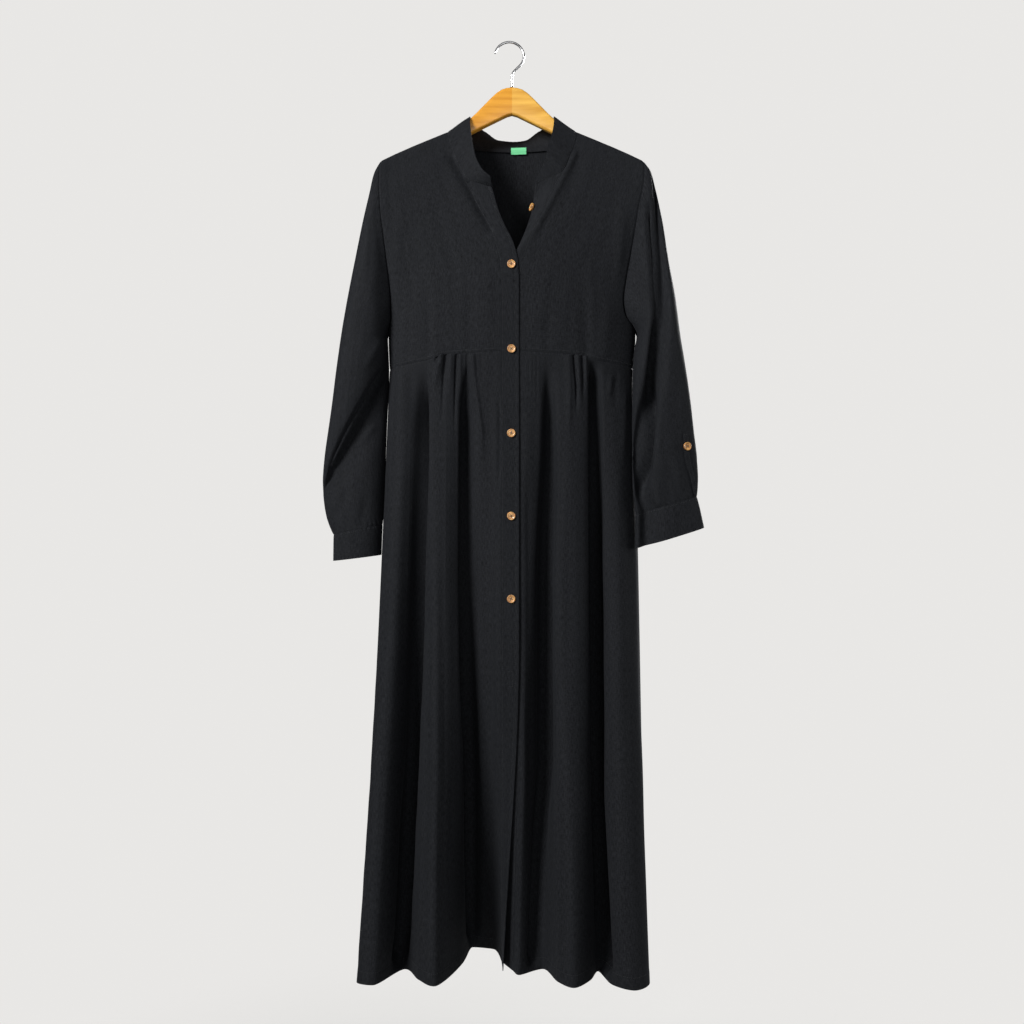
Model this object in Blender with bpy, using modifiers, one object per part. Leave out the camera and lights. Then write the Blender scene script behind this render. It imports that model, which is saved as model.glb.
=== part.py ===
"""An abaya dress hanging on a wooden hanger, in metres with +Z up.

The wearer's right is at -X and the front faces -Y. The origin is the saddle of the
hook: the inner top of its wire, where a rail holds it. Every cloth panel is a wall of
one thickness, worked out from the sections of the body, the sleeves and the skirt.
"""
import math

import bmesh
import bpy
from mathutils import Vector

# Driving dimensions of the cloth
CLOTH = 0.0012
SEAM_GAP = 0.0003
SIDE_GAP = 0.0010
LAP = 0.0019
CENTRE_X = 0.0043
HEM_Z = -1.4535
KNEE_Z = -0.94
BODY_CORNER = 2.6
WAIST_Z = -0.4934
GATHER = 0.0024
GATHER_REACH = 0.075
SHOULDER_GAP = 0.00025
COLLAR_GAP = 0.0005

# Where the wearer's right front stands out over the left one
LAP_INNER = 0.017
LAP_REACH = 0.055
LAP_TOP = -0.30
LAP_FADE = 0.05
LAP_LOSS = 0.6

# Driving dimensions of the trims, the hanger and the hook
BUTTON_RADIUS = 0.0063
BUTTON_THICK = 0.0026
BUTTON_RIM = 0.0006
BUTTON_SIDES = 16
BUTTON_X = -0.0008
LABEL_THICK = 0.0010
TAB_LIFT = 0.0002
HANGER_HALF_THICK = 0.0063
HANGER_SWEEP = 0.020
HANGER_END_X = 0.200
WIRE_RADIUS = 0.0018
HOOK_RADIUS = 0.0231
STEM_X = 0.0044

# The top of the cloth along the shoulders: distance from the middle, height
SHOULDER_LINE = (
    (0.000, -0.0860),
    (0.030, -0.0960),
    (0.066, -0.1178),
    (0.1018, -0.1431),
    (0.130, -0.1560),
    (0.157, -0.1687),
    (0.182, -0.1813),
    (0.2038, -0.1935),
    (0.2150, -0.2010),
)

# How far the cloth stands out below the shoulder line: drop, front depth, back depth
FALL = (
    (0.0000, 0.0000, 0.0000),
    (0.0004, 0.0030, 0.0030),
    (0.0030, 0.0075, 0.0075),
    (0.0100, 0.0100, 0.0100),
    (0.0300, 0.0150, 0.0140),
    (0.0600, 0.0230, 0.0220),
    (0.1200, 0.0350, 0.0340),
    (0.2000, 0.0440, 0.0430),
    (0.3000, 0.0500, 0.0490),
    (0.4200, 0.0510, 0.0500),
)

# Half width of the body's oval: height, half width
BODY_WIDTH = (
    (-0.560, 0.1950),
    (-0.4555, 0.1953),
    (-0.400, 0.2080),
    (-0.330, 0.2350),
    (-0.260, 0.2800),
    (-0.190, 0.3400),
)

# Edges of the upper fronts, one row a station: along, inner x, inner z, outer x, outer z
FRONT_RIGHT = (
    (0.000, 0.1018, -0.1431, 0.2038, -0.1935),
    (0.012, 0.1018, -0.1436, 0.2040, -0.1940),
    (0.030, 0.1017, -0.1465, 0.2047, -0.1970),
    (0.070, 0.1007, -0.1545, 0.2055, -0.2040),
    (0.160, 0.0965, -0.1705, 0.2060, -0.2260),
    (0.280, 0.0895, -0.1910, 0.2040, -0.2660),
    (0.400, 0.0800, -0.2095, 0.1995, -0.3070),
    (0.520, 0.0705, -0.2265, 0.1950, -0.3460),
    (0.640, 0.0570, -0.2600, 0.1905, -0.3830),
    (0.760, 0.0430, -0.2860, 0.1885, -0.4130),
    (0.880, 0.0290, -0.3180, 0.1885, -0.4370),
    (0.950, 0.0235, -0.3380, 0.1918, -0.4490),
    (1.000, 0.0195, -0.3560, 0.1953, -0.4555),
    (1.300, 0.0168, -0.3950, 0.1951, -0.4720),
    (2.000, 0.0168, -0.4934, 0.1929, -0.5170),
)
FRONT_LEFT = (
    (0.000, 0.1018, -0.1431, 0.2038, -0.1935),
    (0.012, 0.1018, -0.1436, 0.2040, -0.1940),
    (0.030, 0.1017, -0.1465, 0.2046, -0.1970),
    (0.070, 0.1007, -0.1545, 0.2052, -0.2040),
    (0.160, 0.0965, -0.1705, 0.2040, -0.2260),
    (0.280, 0.0895, -0.1880, 0.1960, -0.2660),
    (0.400, 0.0850, -0.2020, 0.1890, -0.3070),
    (0.520, 0.0785, -0.2130, 0.1825, -0.3460),
    (0.640, 0.0650, -0.2420, 0.1760, -0.3830),
    (0.760, 0.0500, -0.2700, 0.1725, -0.4120),
    (0.880, 0.0360, -0.3010, 0.1765, -0.4350),
    (0.950, 0.0280, -0.3200, 0.1875, -0.4480),
    (1.000, 0.0225, -0.3380, 0.1953, -0.4555),
    (1.300, 0.0120, -0.3900, 0.1951, -0.4720),
    (2.000, 0.0107, -0.4934, 0.1929, -0.5170),
)
BACK_EDGE = (
    (0.000, 0.2038, -0.1935),
    (0.012, 0.2040, -0.1940),
    (0.030, 0.2046, -0.1970),
    (0.070, 0.2052, -0.2040),
    (0.160, 0.2050, -0.2260),
    (0.280, 0.2020, -0.2660),
    (0.400, 0.1980, -0.3070),
    (0.520, 0.1940, -0.3460),
    (0.640, 0.1905, -0.3830),
    (0.760, 0.1885, -0.4130),
    (0.880, 0.1890, -0.4370),
    (0.950, 0.1918, -0.4490),
    (1.000, 0.1953, -0.4555),
    (1.300, 0.1951, -0.4720),
    (2.000, 0.1929, -0.5170),
)
BODICE_ROWS = (0, .012, .03, .07, .16, .28, .4, .52, .64, .76, .88, .95, 1, 1.3, 1.65, 2)
ARM_ROWS = tuple(row for row in BODICE_ROWS if row <= 1)
PLACKET_START = 0.52
PLACKET_STEPS = 3

# Free edges of the two front bands above the waist: along, x towards that side, z, turned in
FREE_EDGE_RIGHT = (
    (0.520, 0.0310, -0.2392, 0.0000),
    (0.640, 0.0215, -0.2735, 0.0000),
    (0.760, 0.0105, -0.3010, 0.0000),
    (0.880, -0.0020, -0.3270, 0.0000),
    (1.000, -0.0090, -0.3560, 0.0000),
    (1.300, -0.0107, -0.3950, 0.0000),
    (2.000, -0.0107, -0.4934, 0.0000),
)
FREE_EDGE_LEFT = (
    (0.520, 0.0360, -0.2330, 0.0140),
    (0.640, 0.0320, -0.2650, 0.0160),
    (0.760, 0.0240, -0.2950, 0.0090),
    (0.880, 0.0120, -0.3280, 0.0020),
    (1.000, -0.0050, -0.3600, 0.0000),
    (1.300, -0.0160, -0.3950, 0.0000),
    (2.000, -0.0168, -0.4934, 0.0000),
)

# The raised waist seam: distance from the middle, height
WAIST_LINE = ((0.0, -0.4932), (0.108, -0.4990), (0.1295, -0.5065), (0.1960, -0.5173))
WAIST_KNOTS = (0.108, 0.1295)

# The back neck seam between the shoulders: distance from the middle, height
BACK_NECK = (
    (0.0000, -0.1620),
    (0.0350, -0.1620),
    (0.0660, -0.1610),
    (0.0880, -0.1580),
    (0.0980, -0.1530),
    (0.1010, -0.1470),
    (0.1015, -0.1446),
    (0.1018, -0.1431),
)

# Folds of the skirt, one row a fold line from the front edge to the side seam:
# waist x, knee x, knee y, hem x, hem y, columns up to the next line, gathered
SKIRT_RIGHT = (
    (-0.0107, -0.0107, -0.0560, 0.0142, -0.0260, 2, 0),
    (0.0168, 0.0168, -0.0535, 0.0175, 0.0130, 1, 0),
    (0.0380, 0.0370, -0.0360, 0.0235, 0.0440, 2, 0),
    (0.0680, 0.0630, -0.0220, 0.0459, 0.0590, 3, 1),
    (0.0860, 0.0830, -0.0480, 0.0770, -0.0050, 3, 1),
    (0.1080, 0.1120, -0.0640, 0.1170, -0.0780, 3, 1),
    (0.1295, 0.1330, -0.0500, 0.1430, -0.0560, 2, 0),
    (0.1450, 0.1520, -0.0300, 0.1668, -0.0210, 3, 0),
    (0.1660, 0.1820, -0.0500, 0.2100, -0.0740, 2, 0),
    (0.1850, 0.2050, -0.0300, 0.2355, -0.0640, 2, 0),
    (0.1929, 0.2120, 0.0000, 0.2375, 0.0000, 0, 0),
)
SKIRT_LEFT = (
    (-0.0168, -0.0120, -0.0520, -0.0040, 0.0060, 2, 0),
    (0.0107, 0.0107, -0.0535, 0.0020, -0.0270, 1, 0),
    (0.0200, 0.0200, -0.0545, 0.0110, -0.0400, 3, 0),
    (0.0560, 0.0470, -0.0330, 0.0480, -0.0200, 2, 0),
    (0.0790, 0.0680, -0.0580, 0.0700, -0.0640, 2, 1),
    (0.0920, 0.0870, -0.0640, 0.0930, -0.0830, 3, 1),
    (0.1080, 0.1130, -0.0520, 0.1190, -0.0580, 2, 1),
    (0.1295, 0.1280, -0.0200, 0.1336, -0.0270, 2, 0),
    (0.1430, 0.1440, -0.0460, 0.1520, -0.0720, 2, 0),
    (0.1620, 0.1640, -0.0560, 0.1830, -0.0910, 2, 0),
    (0.1850, 0.1950, -0.0300, 0.2090, -0.0640, 2, 0),
    (0.1929, 0.2020, 0.0000, 0.2100, 0.0000, 0, 0),
)
SKIRT_BACK = (
    (-0.1929, -0.2120, 0.0000, -0.2375, 0.0000, 2, 0),
    (-0.1810, -0.2000, 0.0360, -0.2250, 0.0660, 2, 0),
    (-0.1520, -0.1650, 0.0300, -0.1820, 0.0500, 2, 0),
    (-0.1295, -0.1330, 0.0620, -0.1420, 0.1020, 2, 1),
    (-0.1080, -0.1100, 0.0520, -0.1150, 0.0840, 2, 1),
    (-0.0600, -0.0610, 0.0720, -0.0640, 0.1250, 2, 0),
    (-0.0200, -0.0200, 0.0560, -0.0220, 0.0980, 2, 0),
    (0.0180, 0.0200, 0.0700, 0.0210, 0.1180, 2, 0),
    (0.0560, 0.0570, 0.0480, 0.0600, 0.0820, 2, 0),
    (0.0880, 0.0920, 0.0680, 0.0960, 0.1120, 2, 1),
    (0.1080, 0.1120, 0.0540, 0.1180, 0.0860, 2, 1),
    (0.1295, 0.1340, 0.0400, 0.1420, 0.0680, 2, 0),
    (0.1520, 0.1600, 0.0540, 0.1690, 0.0900, 2, 0),
    (0.1810, 0.1930, 0.0300, 0.2000, 0.0560, 2, 0),
    (0.1929, 0.2020, 0.0000, 0.2100, 0.0000, 0, 0),
)
SKIRT_ROWS = (0, .012, .03, .06, .10, .16, .24, .34, .47, .60, .73, .85, .94, 1)

# Rings of the sleeves: along, outer x, outer z, inner x, inner z, edge y, front y, back y
SLEEVE_RIGHT = (
    (0.00, 0.2045, -0.1940, 0.1956, -0.4558, 0.000, -0.040, 0.040),
    (0.05, 0.2145, -0.2131, 0.1958, -0.4580, -0.004, -0.042, 0.036),
    (0.12, 0.2225, -0.2444, 0.1960, -0.4610, -0.006, -0.044, 0.034),
    (0.20, 0.2330, -0.2851, 0.1963, -0.4650, -0.008, -0.046, 0.032),
    (0.30, 0.2465, -0.3492, 0.1966, -0.4700, -0.008, -0.048, 0.031),
    (0.40, 0.2610, -0.4244, 0.1970, -0.4760, -0.008, -0.049, 0.030),
    (0.50, 0.2742, -0.5136, 0.1976, -0.4830, -0.008, -0.049, 0.029),
    (0.59, 0.2852, -0.5965, 0.1984, -0.4920, -0.008, -0.047, 0.029),
    (0.66, 0.2930, -0.6592, 0.1994, -0.5020, -0.007, -0.044, 0.029),
    (0.70, 0.2962, -0.6940, 0.2004, -0.5120, -0.006, -0.039, 0.029),
    (0.74, 0.2964, -0.7110, 0.2016, -0.5300, -0.004, -0.022, 0.029),
    (0.80, 0.2950, -0.7290, 0.2040, -0.5780, -0.003, -0.024, 0.028),
    (0.88, 0.2915, -0.7480, 0.2064, -0.6500, -0.003, -0.028, 0.026),
    (0.95, 0.2860, -0.7640, 0.2085, -0.7150, -0.003, -0.029, 0.024),
    (1.00, 0.2810, -0.7760, 0.2100, -0.7600, -0.003, -0.029, 0.023),
)
SLEEVE_LEFT = (
    (0.00, 0.2045, -0.1940, 0.1956, -0.4558, 0.000, -0.040, 0.040),
    (0.05, 0.2160, -0.2123, 0.1958, -0.4580, -0.006, -0.046, 0.034),
    (0.12, 0.2235, -0.2397, 0.1960, -0.4610, -0.010, -0.052, 0.030),
    (0.20, 0.2310, -0.2835, 0.1960, -0.4660, -0.016, -0.058, 0.026),
    (0.30, 0.2420, -0.3461, 0.1950, -0.4750, -0.023, -0.064, 0.020),
    (0.40, 0.2525, -0.4087, 0.1920, -0.4900, -0.031, -0.069, 0.012),
    (0.50, 0.2605, -0.4713, 0.1900, -0.5150, -0.036, -0.070, 0.006),
    (0.60, 0.2695, -0.5339, 0.1885, -0.5500, -0.039, -0.068, -0.002),
    (0.70, 0.2775, -0.5965, 0.1880, -0.5950, -0.040, -0.066, -0.008),
    (0.80, 0.2850, -0.6592, 0.1885, -0.6480, -0.040, -0.063, -0.013),
    (0.90, 0.2865, -0.6900, 0.1900, -0.7000, -0.039, -0.060, -0.016),
    (1.00, 0.2850, -0.7165, 0.1955, -0.7440, -0.038, -0.058, -0.018),
)
SLEEVE_STEPS = 18
RING_BLEND = 0.30
RING_FULLNESS = 0.85
ARMHOLE_GAP = 0.0021
ARMPIT_CLEAR = 0.0026
SLIT_ROW = 14
SLIT_COLUMNS = {-1: 21, 1: 3}
SLIT_HALF = 0.0008
TAB_COLUMNS = {-1: (21.08, 21.95), 1: (2.92, 2.05)}
TAB_ROWS = (13.3, 17.8)
TAB_STEPS = 5
BUTTON_ROW = 13.8

# The long trough down the front of the wearer's left sleeve, in columns of its rings
TROUGH_DEPTH = 0.012
TROUGH_WIDTH = 1.5
TROUGH_START = 2.4
TROUGH_DRIFT = 7.2

# How far the sleeves are turned about their own length: along, degrees
TWIST_LEFT = ((0.0, 0), (0.55, 0), (0.78, 14), (0.90, 0), (1.0, -14))

# Cuffs: how far the band runs on from the sleeve's last ring, at its outer and inner edge
CUFF_RIGHT = ((0.0008, -0.0412), (-0.0008, -0.0480))
CUFF_LEFT = ((0.0115, -0.0480), (-0.0010, -0.0530))
CUFF_ROWS = (0.012, 0.34, 0.67, 1.0)

# Stand collar from its front end to the shoulder, one row a station on the bodice edge:
# top x, top y, top z
COLLAR_RIGHT = (
    (0.0336, -0.0520, -0.2275),
    (0.0470, -0.0450, -0.2130),
    (0.0570, -0.0360, -0.1900),
    (0.0605, -0.0290, -0.1720),
    (0.0630, -0.0235, -0.1560),
    (0.0648, -0.0185, -0.1420),
    (0.0658, -0.0118, -0.1290),
    (0.0660, -0.0085, -0.1206),
    (0.0660, -0.0035, -0.1180),
    (0.0660, 0.0000, -0.1175),
)
COLLAR_LEFT = (
    (0.0385, -0.0420, -0.2215),
    (0.0450, -0.0390, -0.2060),
    (0.0530, -0.0350, -0.1850),
    (0.0560, -0.0290, -0.1710),
    (0.0605, -0.0235, -0.1580),
    (0.0640, -0.0185, -0.1430),
    (0.0658, -0.0118, -0.1290),
    (0.0660, -0.0085, -0.1206),
    (0.0660, -0.0035, -0.1180),
    (0.0660, 0.0000, -0.1175),
)
# Stand collar across the back, one row a point of the back neck seam but the first:
# top x, top y, top z
COLLAR_BACK = (
    (0.0660, 0.0045, -0.1179),
    (0.0660, 0.0090, -0.1190),
    (0.0650, 0.0150, -0.1190),
    (0.0590, 0.0270, -0.1205),
    (0.0430, 0.0390, -0.1265),
    (0.0220, 0.0445, -0.1380),
    (0.0000, 0.0460, -0.1400),
)
COLLAR_HEIGHT_ROWS = 3

# Hanger: distance from the middle, top z, bottom z
HANGER_ARM = (
    (0.0000, -0.0706, -0.1123),
    (0.0110, -0.0720, -0.1178),
    (0.0220, -0.0779, -0.1232),
    (0.0435, -0.0986, -0.1340),
    (0.0640, -0.1193, -0.1446),
    (0.0860, -0.1350, -0.1560),
    (0.1018, -0.1455, -0.1642),
    (0.1300, -0.1582, -0.1786),
    (0.1560, -0.1708, -0.1915),
    (0.1820, -0.1840, -0.2030),
    (0.1940, -0.1906, -0.2070),
    (0.2000, -0.1965, -0.2050),
)
HANGER_SIDE_CORNER = 4.0
HANGER_TOP_CORNER = 2.4
HANGER_SIDES = 16
HANGER_END_SHRINK = 0.72

# Heights of the front buttons
BUTTON_HEIGHTS = (-0.3610, -0.4900, -0.6200, -0.7466, -0.8720)

# The top button on the under band's turned edge: station, place across, offset, facing
NECK_BUTTON_ALONG = 0.66
NECK_BUTTON_ACROSS = 0.80
NECK_BUTTON_OFFSET = (-0.0018, -0.0020, 0.0)
NECK_BUTTON_FACING = (-0.62, -0.72, 0.1)

# Corner heights and places across of the neck tab
LABEL_HEIGHTS = (-0.1575, -0.1625, -0.1675)
LABEL_PLACES = (0.0228, 0.0147, 0.0065, -0.0016)

# The hook's bend in degrees, and the path of its wire below the bend: x, z
HOOK_TIP_ANGLE = 168
HOOK_TURN_ANGLE = 3
HOOK_TURN_STEP = 11
HOOK_SHANK = (
    (0.0226, -0.0240),
    (0.0206, -0.0302),
    (0.0152, -0.0368),
    (0.0106, -0.0412),
    (0.0074, -0.0446),
    (0.0054, -0.0474),
    (0.0045, -0.0506),
    (0.0044, -0.0560),
    (0.0044, -0.0703),
)


def through(rows, at):
    """The columns of a table at one value of its first column, on a smooth curve."""
    if at <= rows[0][0]:
        return rows[0][1:]
    if at >= rows[-1][0]:
        return rows[-1][1:]
    low = max(i for i in range(len(rows) - 1) if rows[i][0] <= at)
    span = rows[low + 1][0] - rows[low][0]
    part = (at - rows[low][0]) / span
    values = []
    for column in range(1, len(rows[0])):
        rise = (rows[low + 1][column] - rows[low][column]) / span
        start = slope_at(rows, low, column)
        end = slope_at(rows, low + 1, column)
        limit = 3 * abs(rise)
        start = max(-limit, min(limit, start)) * span
        end = max(-limit, min(limit, end)) * span
        keep = 1 - part
        values.append(
            rows[low][column] * (1 + 2 * part) * keep * keep
            + rows[low + 1][column] * part * part * (3 - 2 * part)
            + start * part * keep * keep
            - end * part * part * keep
        )
    return tuple(values)


def slope_at(rows, index, column):
    """The slope of one column at a row, flat where the column turns back."""
    if index == 0 or index == len(rows) - 1:
        other = 1 if index == 0 else index - 1
        first = min(index, other)
        run = rows[first + 1][0] - rows[first][0]
        return (rows[first + 1][column] - rows[first][column]) / run
    before = (rows[index][column] - rows[index - 1][column]) / (rows[index][0] - rows[index - 1][0])
    after = (rows[index + 1][column] - rows[index][column]) / (rows[index + 1][0] - rows[index][0])
    if before * after <= 0:
        return 0.0
    return 2 * before * after / (before + after)


def straight(rows, at):
    """The second column of a table at one value of its first, on straight lines."""
    for low, high in zip(rows, rows[1:]):
        if at <= high[0]:
            return low[1] + (high[1] - low[1]) * (at - low[0]) / (high[0] - low[0])
    return rows[-1][1]


def blend(start, end, part):
    return start + (end - start) * part


def ease(part):
    part = max(0.0, min(1.0, part))
    return part * part * (3 - 2 * part)


def shoulder_z(x):
    return straight(SHOULDER_LINE, abs(x))


def ridge_y(x):
    """The hanger's arms sweep forward, and the shoulders with them."""
    return -HANGER_SWEEP * (abs(x) / HANGER_END_X) ** 2


def body_y(x, z, back=False):
    """The depth of the upper body's cloth at a place on it."""
    drop = max(0.0, shoulder_z(x) - z)
    depth = through(FALL, drop)[1 if back else 0]
    reach = min(1.0, abs(x) / through(BODY_WIDTH, z)[0])
    oval = (1 - reach ** BODY_CORNER) ** (1 / BODY_CORNER)
    sweep = ridge_y(x) * (1 - ease(drop / 0.22))
    return sweep + (depth if back else -depth) * oval


def make_object(name, mesh, material, smooth_angle=40):
    mesh.shade_smooth()
    mesh.set_sharp_from_angle(angle=math.radians(smooth_angle))
    mesh.materials.append(material)
    piece = bpy.data.objects.new(name, mesh)
    parts.objects.link(piece)
    piece.parent = garment_line
    return piece


def make_panel(name, rows, material, thickness=CLOTH, wrap_above=None):
    """A wall of cloth on a grid of outer points, thickened inwards.

    rows run from top to bottom, and their points from the viewer's left to right.
    wrap_above closes the grid round a sleeve down to that row.
    """
    rim = len(rows[0])
    sheet = bmesh.new()
    bmesh.ops.create_grid(sheet, x_segments=rim - 1, y_segments=len(rows) - 1, size=1.0)
    sheet.verts.ensure_lookup_table()
    for index, vert in enumerate(sorted(sheet.verts, key=lambda v: (-round(v.co.y, 5), v.co.x))):
        vert.co = rows[index // rim][index % rim]
    if wrap_above is not None:
        bmesh.ops.remove_doubles(sheet, verts=sheet.verts, dist=0.00005)
    mesh = bpy.data.meshes.new(name)
    sheet.to_mesh(mesh)
    sheet.free()
    piece = make_object(name, mesh, material)
    wall = piece.modifiers.new("wall", "SOLIDIFY")
    wall.thickness = thickness
    wall.offset = -1.0
    wall.use_even_offset = False
    return piece


def front_point(table, side, along, across):
    """A point of an upper front: across is 0 at the placket or collar, 1 at the armhole."""
    inner_x, inner_z, outer_x, outer_z = through(table, along)
    x = blend(inner_x, outer_x, across)
    z = blend(inner_z, outer_z, across)
    z += correction(table, x, across, along)
    if along == 0:
        z = shoulder_z(x)
    return x * side, z


def correction(table, x, across, along):
    """Bends the rows to the waist seam below and to the shoulder line above."""
    top = through(table, 0)
    low = through(table, 2)
    top_x = blend(top[0], top[2], across)
    low_x = blend(low[0], low[2], across)
    top_bend = shoulder_z(top_x) - blend(top[1], top[3], across)
    low_bend = straight(WAIST_LINE, low_x) - blend(low[1], low[3], across)
    return top_bend * (1 - along / 2) ** 6 + low_bend * (along / 2) ** 6


def across_steps(low_inner, low_outer):
    """Column places from the inner edge to the side, with one on each bend of the waist."""
    steps = [0, 0.12, 0.26, 0.38]
    steps += [(knot - low_inner) / (low_outer - low_inner) for knot in WAIST_KNOTS]
    steps += [0.76, 0.86, 0.93, 0.98, 1]
    return steps


def lap_out(x, z):
    """The wearer's right front lies over the left one at the middle."""
    return LAP * (1 - ease((abs(x) - LAP_INNER) / LAP_REACH)) * ease((LAP_TOP - z) / LAP_FADE)


def front_panel(name, table, side, material):
    """One upper front, from the shoulder to the waist seam."""
    low = through(table, 2)
    rows = []
    for along in BODICE_ROWS:
        row = []
        for across in across_steps(low[0], low[2]):
            x, z = front_point(table, side, along, across)
            y = body_y(x, z)
            if across == 1 and along >= 1:
                y = -SIDE_GAP / 2
            if along == 0:
                y -= SHOULDER_GAP
            if side < 0:
                y -= lap_out(x, z)
            row.append(Vector((x, y, z)))
        if side < 0:
            row.reverse()
        rows.append(row)
    return make_panel(name, rows, material)


def back_panel(name, material):
    """The upper back, one panel from armhole to armhole."""
    neck = BACK_NECK[-1][0]
    half = [row[0] / BACK_EDGE[0][1] for row in BACK_NECK]
    half += [knot / BACK_EDGE[-1][1] for knot in WAIST_KNOTS]
    half += [0.76, 0.86, 0.93, 0.98, 1]
    across = [-value for value in reversed(half[1:])] + half
    rows = []
    for along in BODICE_ROWS:
        row = []
        for value in across:
            edge_x, edge_z = through(BACK_EDGE, along)
            top_x = BACK_EDGE[0][1] * abs(value)
            low_x = BACK_EDGE[-1][1] * abs(value)
            if top_x < neck:
                top_z = straight(BACK_NECK, top_x)
            else:
                top_z = shoulder_z(top_x)
            low_z = straight(WAIST_LINE, low_x)
            part = (edge_z - BACK_EDGE[0][2]) / (BACK_EDGE[-1][2] - BACK_EDGE[0][2])
            x = edge_x * abs(value)
            z = blend(top_z, low_z, part)
            if along == 0:
                z = top_z
            y = body_y(x, z, back=True)
            if abs(value) == 1 and along >= 1:
                y = SIDE_GAP / 2
            if along == 0 and top_x >= neck:
                y += SHOULDER_GAP
            row.append(Vector((x * math.copysign(1, value), y, z)))
        row.reverse()
        rows.append(row)
    return make_panel(name, rows, material)


def skirt_section(table, side, place, part, back=False):
    """A point of the skirt: place runs along the fold lines, part from waist to hem."""
    lines = [(index,) + row[:5] for index, row in enumerate(table)]
    waist_x, knee_x, knee_y, hem_x, hem_y = through(lines, place)
    top_z = straight(WAIST_LINE, abs(waist_x)) - SEAM_GAP
    waist_y = body_y(waist_x, top_z, back)
    if place in (0, len(table) - 1) and abs(waist_x) > 0.19:
        waist_y = 0.0
    knee = (KNEE_Z - top_z) / (HEM_Z - top_z)
    heights = ((0, waist_x, waist_y), (knee, knee_x, knee_y), (1, hem_x, hem_y))
    x, y = through(heights, part)
    return Vector((x * side, y, blend(top_z, HEM_Z, part)))


def gather_wave(table, place, count, part):
    """Small waves below the waist seam, dying out downwards."""
    low = min(int(place), len(table) - 2)
    if not table[low][6]:
        return 0.0
    drop = part * (WAIST_Z - HEM_Z)
    return GATHER * (1 if count % 2 else -1) * math.exp(-(drop / GATHER_REACH) ** 2)


def skirt_places(table, first, last):
    """Places of the columns along the fold lines, from one line to another."""
    places = []
    for index in range(first, last):
        count = table[index][5]
        places += [index + step / count for step in range(count)]
    return places + [last]


def skirt_panel(name, table, side, material, back=False):
    """A panel of the skirt, from the waist seam to the hem."""
    first = 0 if back else 1
    last = len(table) - 1
    rows = []
    for part in SKIRT_ROWS:
        row = []
        for count, place in enumerate(skirt_places(table, first, last)):
            point = skirt_section(table, side, place, part, back)
            wave = gather_wave(table, place, count, part)
            point.y += wave if back else -wave
            if not back and side < 0:
                point.y -= lap_out(point.x, point.z) * (1 - part)
            if place == last or (back and place == 0):
                point.y += SIDE_GAP / 2 if back else -SIDE_GAP / 2
            if not back and place == first:
                point.x += side * 3 * SEAM_GAP
            row.append(point)
        if back or side < 0:
            row.reverse()
        rows.append(row)
    return make_panel(name, rows, material)


def placket_panel(name, front_table, edge_table, skirt_table, side, lift, material):
    """A front band from the collar to the hem, on the fronts' own edge."""
    rows = []
    for along in [row for row in BODICE_ROWS if row >= PLACKET_START]:
        inner = through(front_table, along)
        edge = through(edge_table, along)
        row = []
        for step in range(PLACKET_STEPS + 1):
            part = step / PLACKET_STEPS
            x = blend(inner[0] - 2 * SEAM_GAP, edge[0], part) * side
            z = blend(inner[1], edge[1], part)
            y = body_y(x, z) + edge[2] * part * part - lift * ease((LAP_TOP - z) / LAP_FADE)
            row.append(Vector((x, y, z)))
        rows.append(row)
    for part in SKIRT_ROWS[1:]:
        row = []
        for step in range(PLACKET_STEPS + 1):
            point = skirt_section(skirt_table, side, 1 - step / PLACKET_STEPS, part)
            point.y -= lift * (1 - LAP_LOSS * part)
            if step == 0:
                point.x -= side * SEAM_GAP / 2
            row.append(point)
        rows.append(row)
    if side > 0:
        rows = [list(reversed(row)) for row in rows]
    return make_panel(name, rows, material)


def ring_points(table, front_table, side, along):
    """One ring round a sleeve: down the front half from its outer edge, up the back half."""
    outer_x, outer_z, inner_x, inner_z, edge_y, front_y, back_y = through(table, along)
    keep = 1 - ease(along / RING_BLEND)
    first = table[0][1:]
    points = []
    halves = [(row, False) for row in ARM_ROWS] + [(row, True) for row in reversed(ARM_ROWS[:-1])]
    turn = math.radians(through(TWIST_LEFT, along)[0]) if side > 0 else 0.0
    for row, back in halves:
        number = ARM_ROWS.index(row)
        angle = math.pi * number / (len(ARM_ROWS) - 1) * (-1 if back else 1)
        depth = front_y if math.sin(angle + turn) > 0 else back_y
        point = oval_point(outer_x, outer_z, inner_x, inner_z, edge_y, depth, angle + turn)
        if keep > 0:
            if back:
                edge_x, edge_z = through(BACK_EDGE, row)
            else:
                edge_x, edge_z = through(front_table, row)[2:]
            y = 0.0 if row == 1 else body_y(edge_x, edge_z, back)
            seam = Vector((edge_x + ARMPIT_CLEAR * (1 - math.cos(angle)) / 2, y, edge_z))
            start = oval_point(*first[:5], first[6] if back else first[5], angle)
            point += (seam - start) * keep
        point.y += sleeve_fold(side, along, number, back)
        points.append(Vector((point.x * side, point.y, point.z)))
    return points


def oval_point(outer_x, outer_z, inner_x, inner_z, edge_y, depth_y, angle):
    """A point of a flattened ring, from its outer edge at 0 to its inner edge at 180."""
    middle_x = (outer_x + inner_x) / 2
    middle_z = (outer_z + inner_z) / 2
    swing = math.cos(angle)
    return Vector((
        middle_x + (outer_x - middle_x) * swing,
        blend(edge_y, depth_y, abs(math.sin(angle)) ** RING_FULLNESS),
        middle_z + (outer_z - middle_z) * swing,
    ))


def sleeve_fold(side, along, number, back):
    """The long trough down the front of the wearer's left sleeve."""
    if side < 0 or back:
        return 0.0
    centre = TROUGH_START + TROUGH_DRIFT * ease(along)
    fade = ease(along / 0.15)
    return TROUGH_DEPTH * math.exp(-((number - centre) / TROUGH_WIDTH) ** 2) * fade


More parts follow.
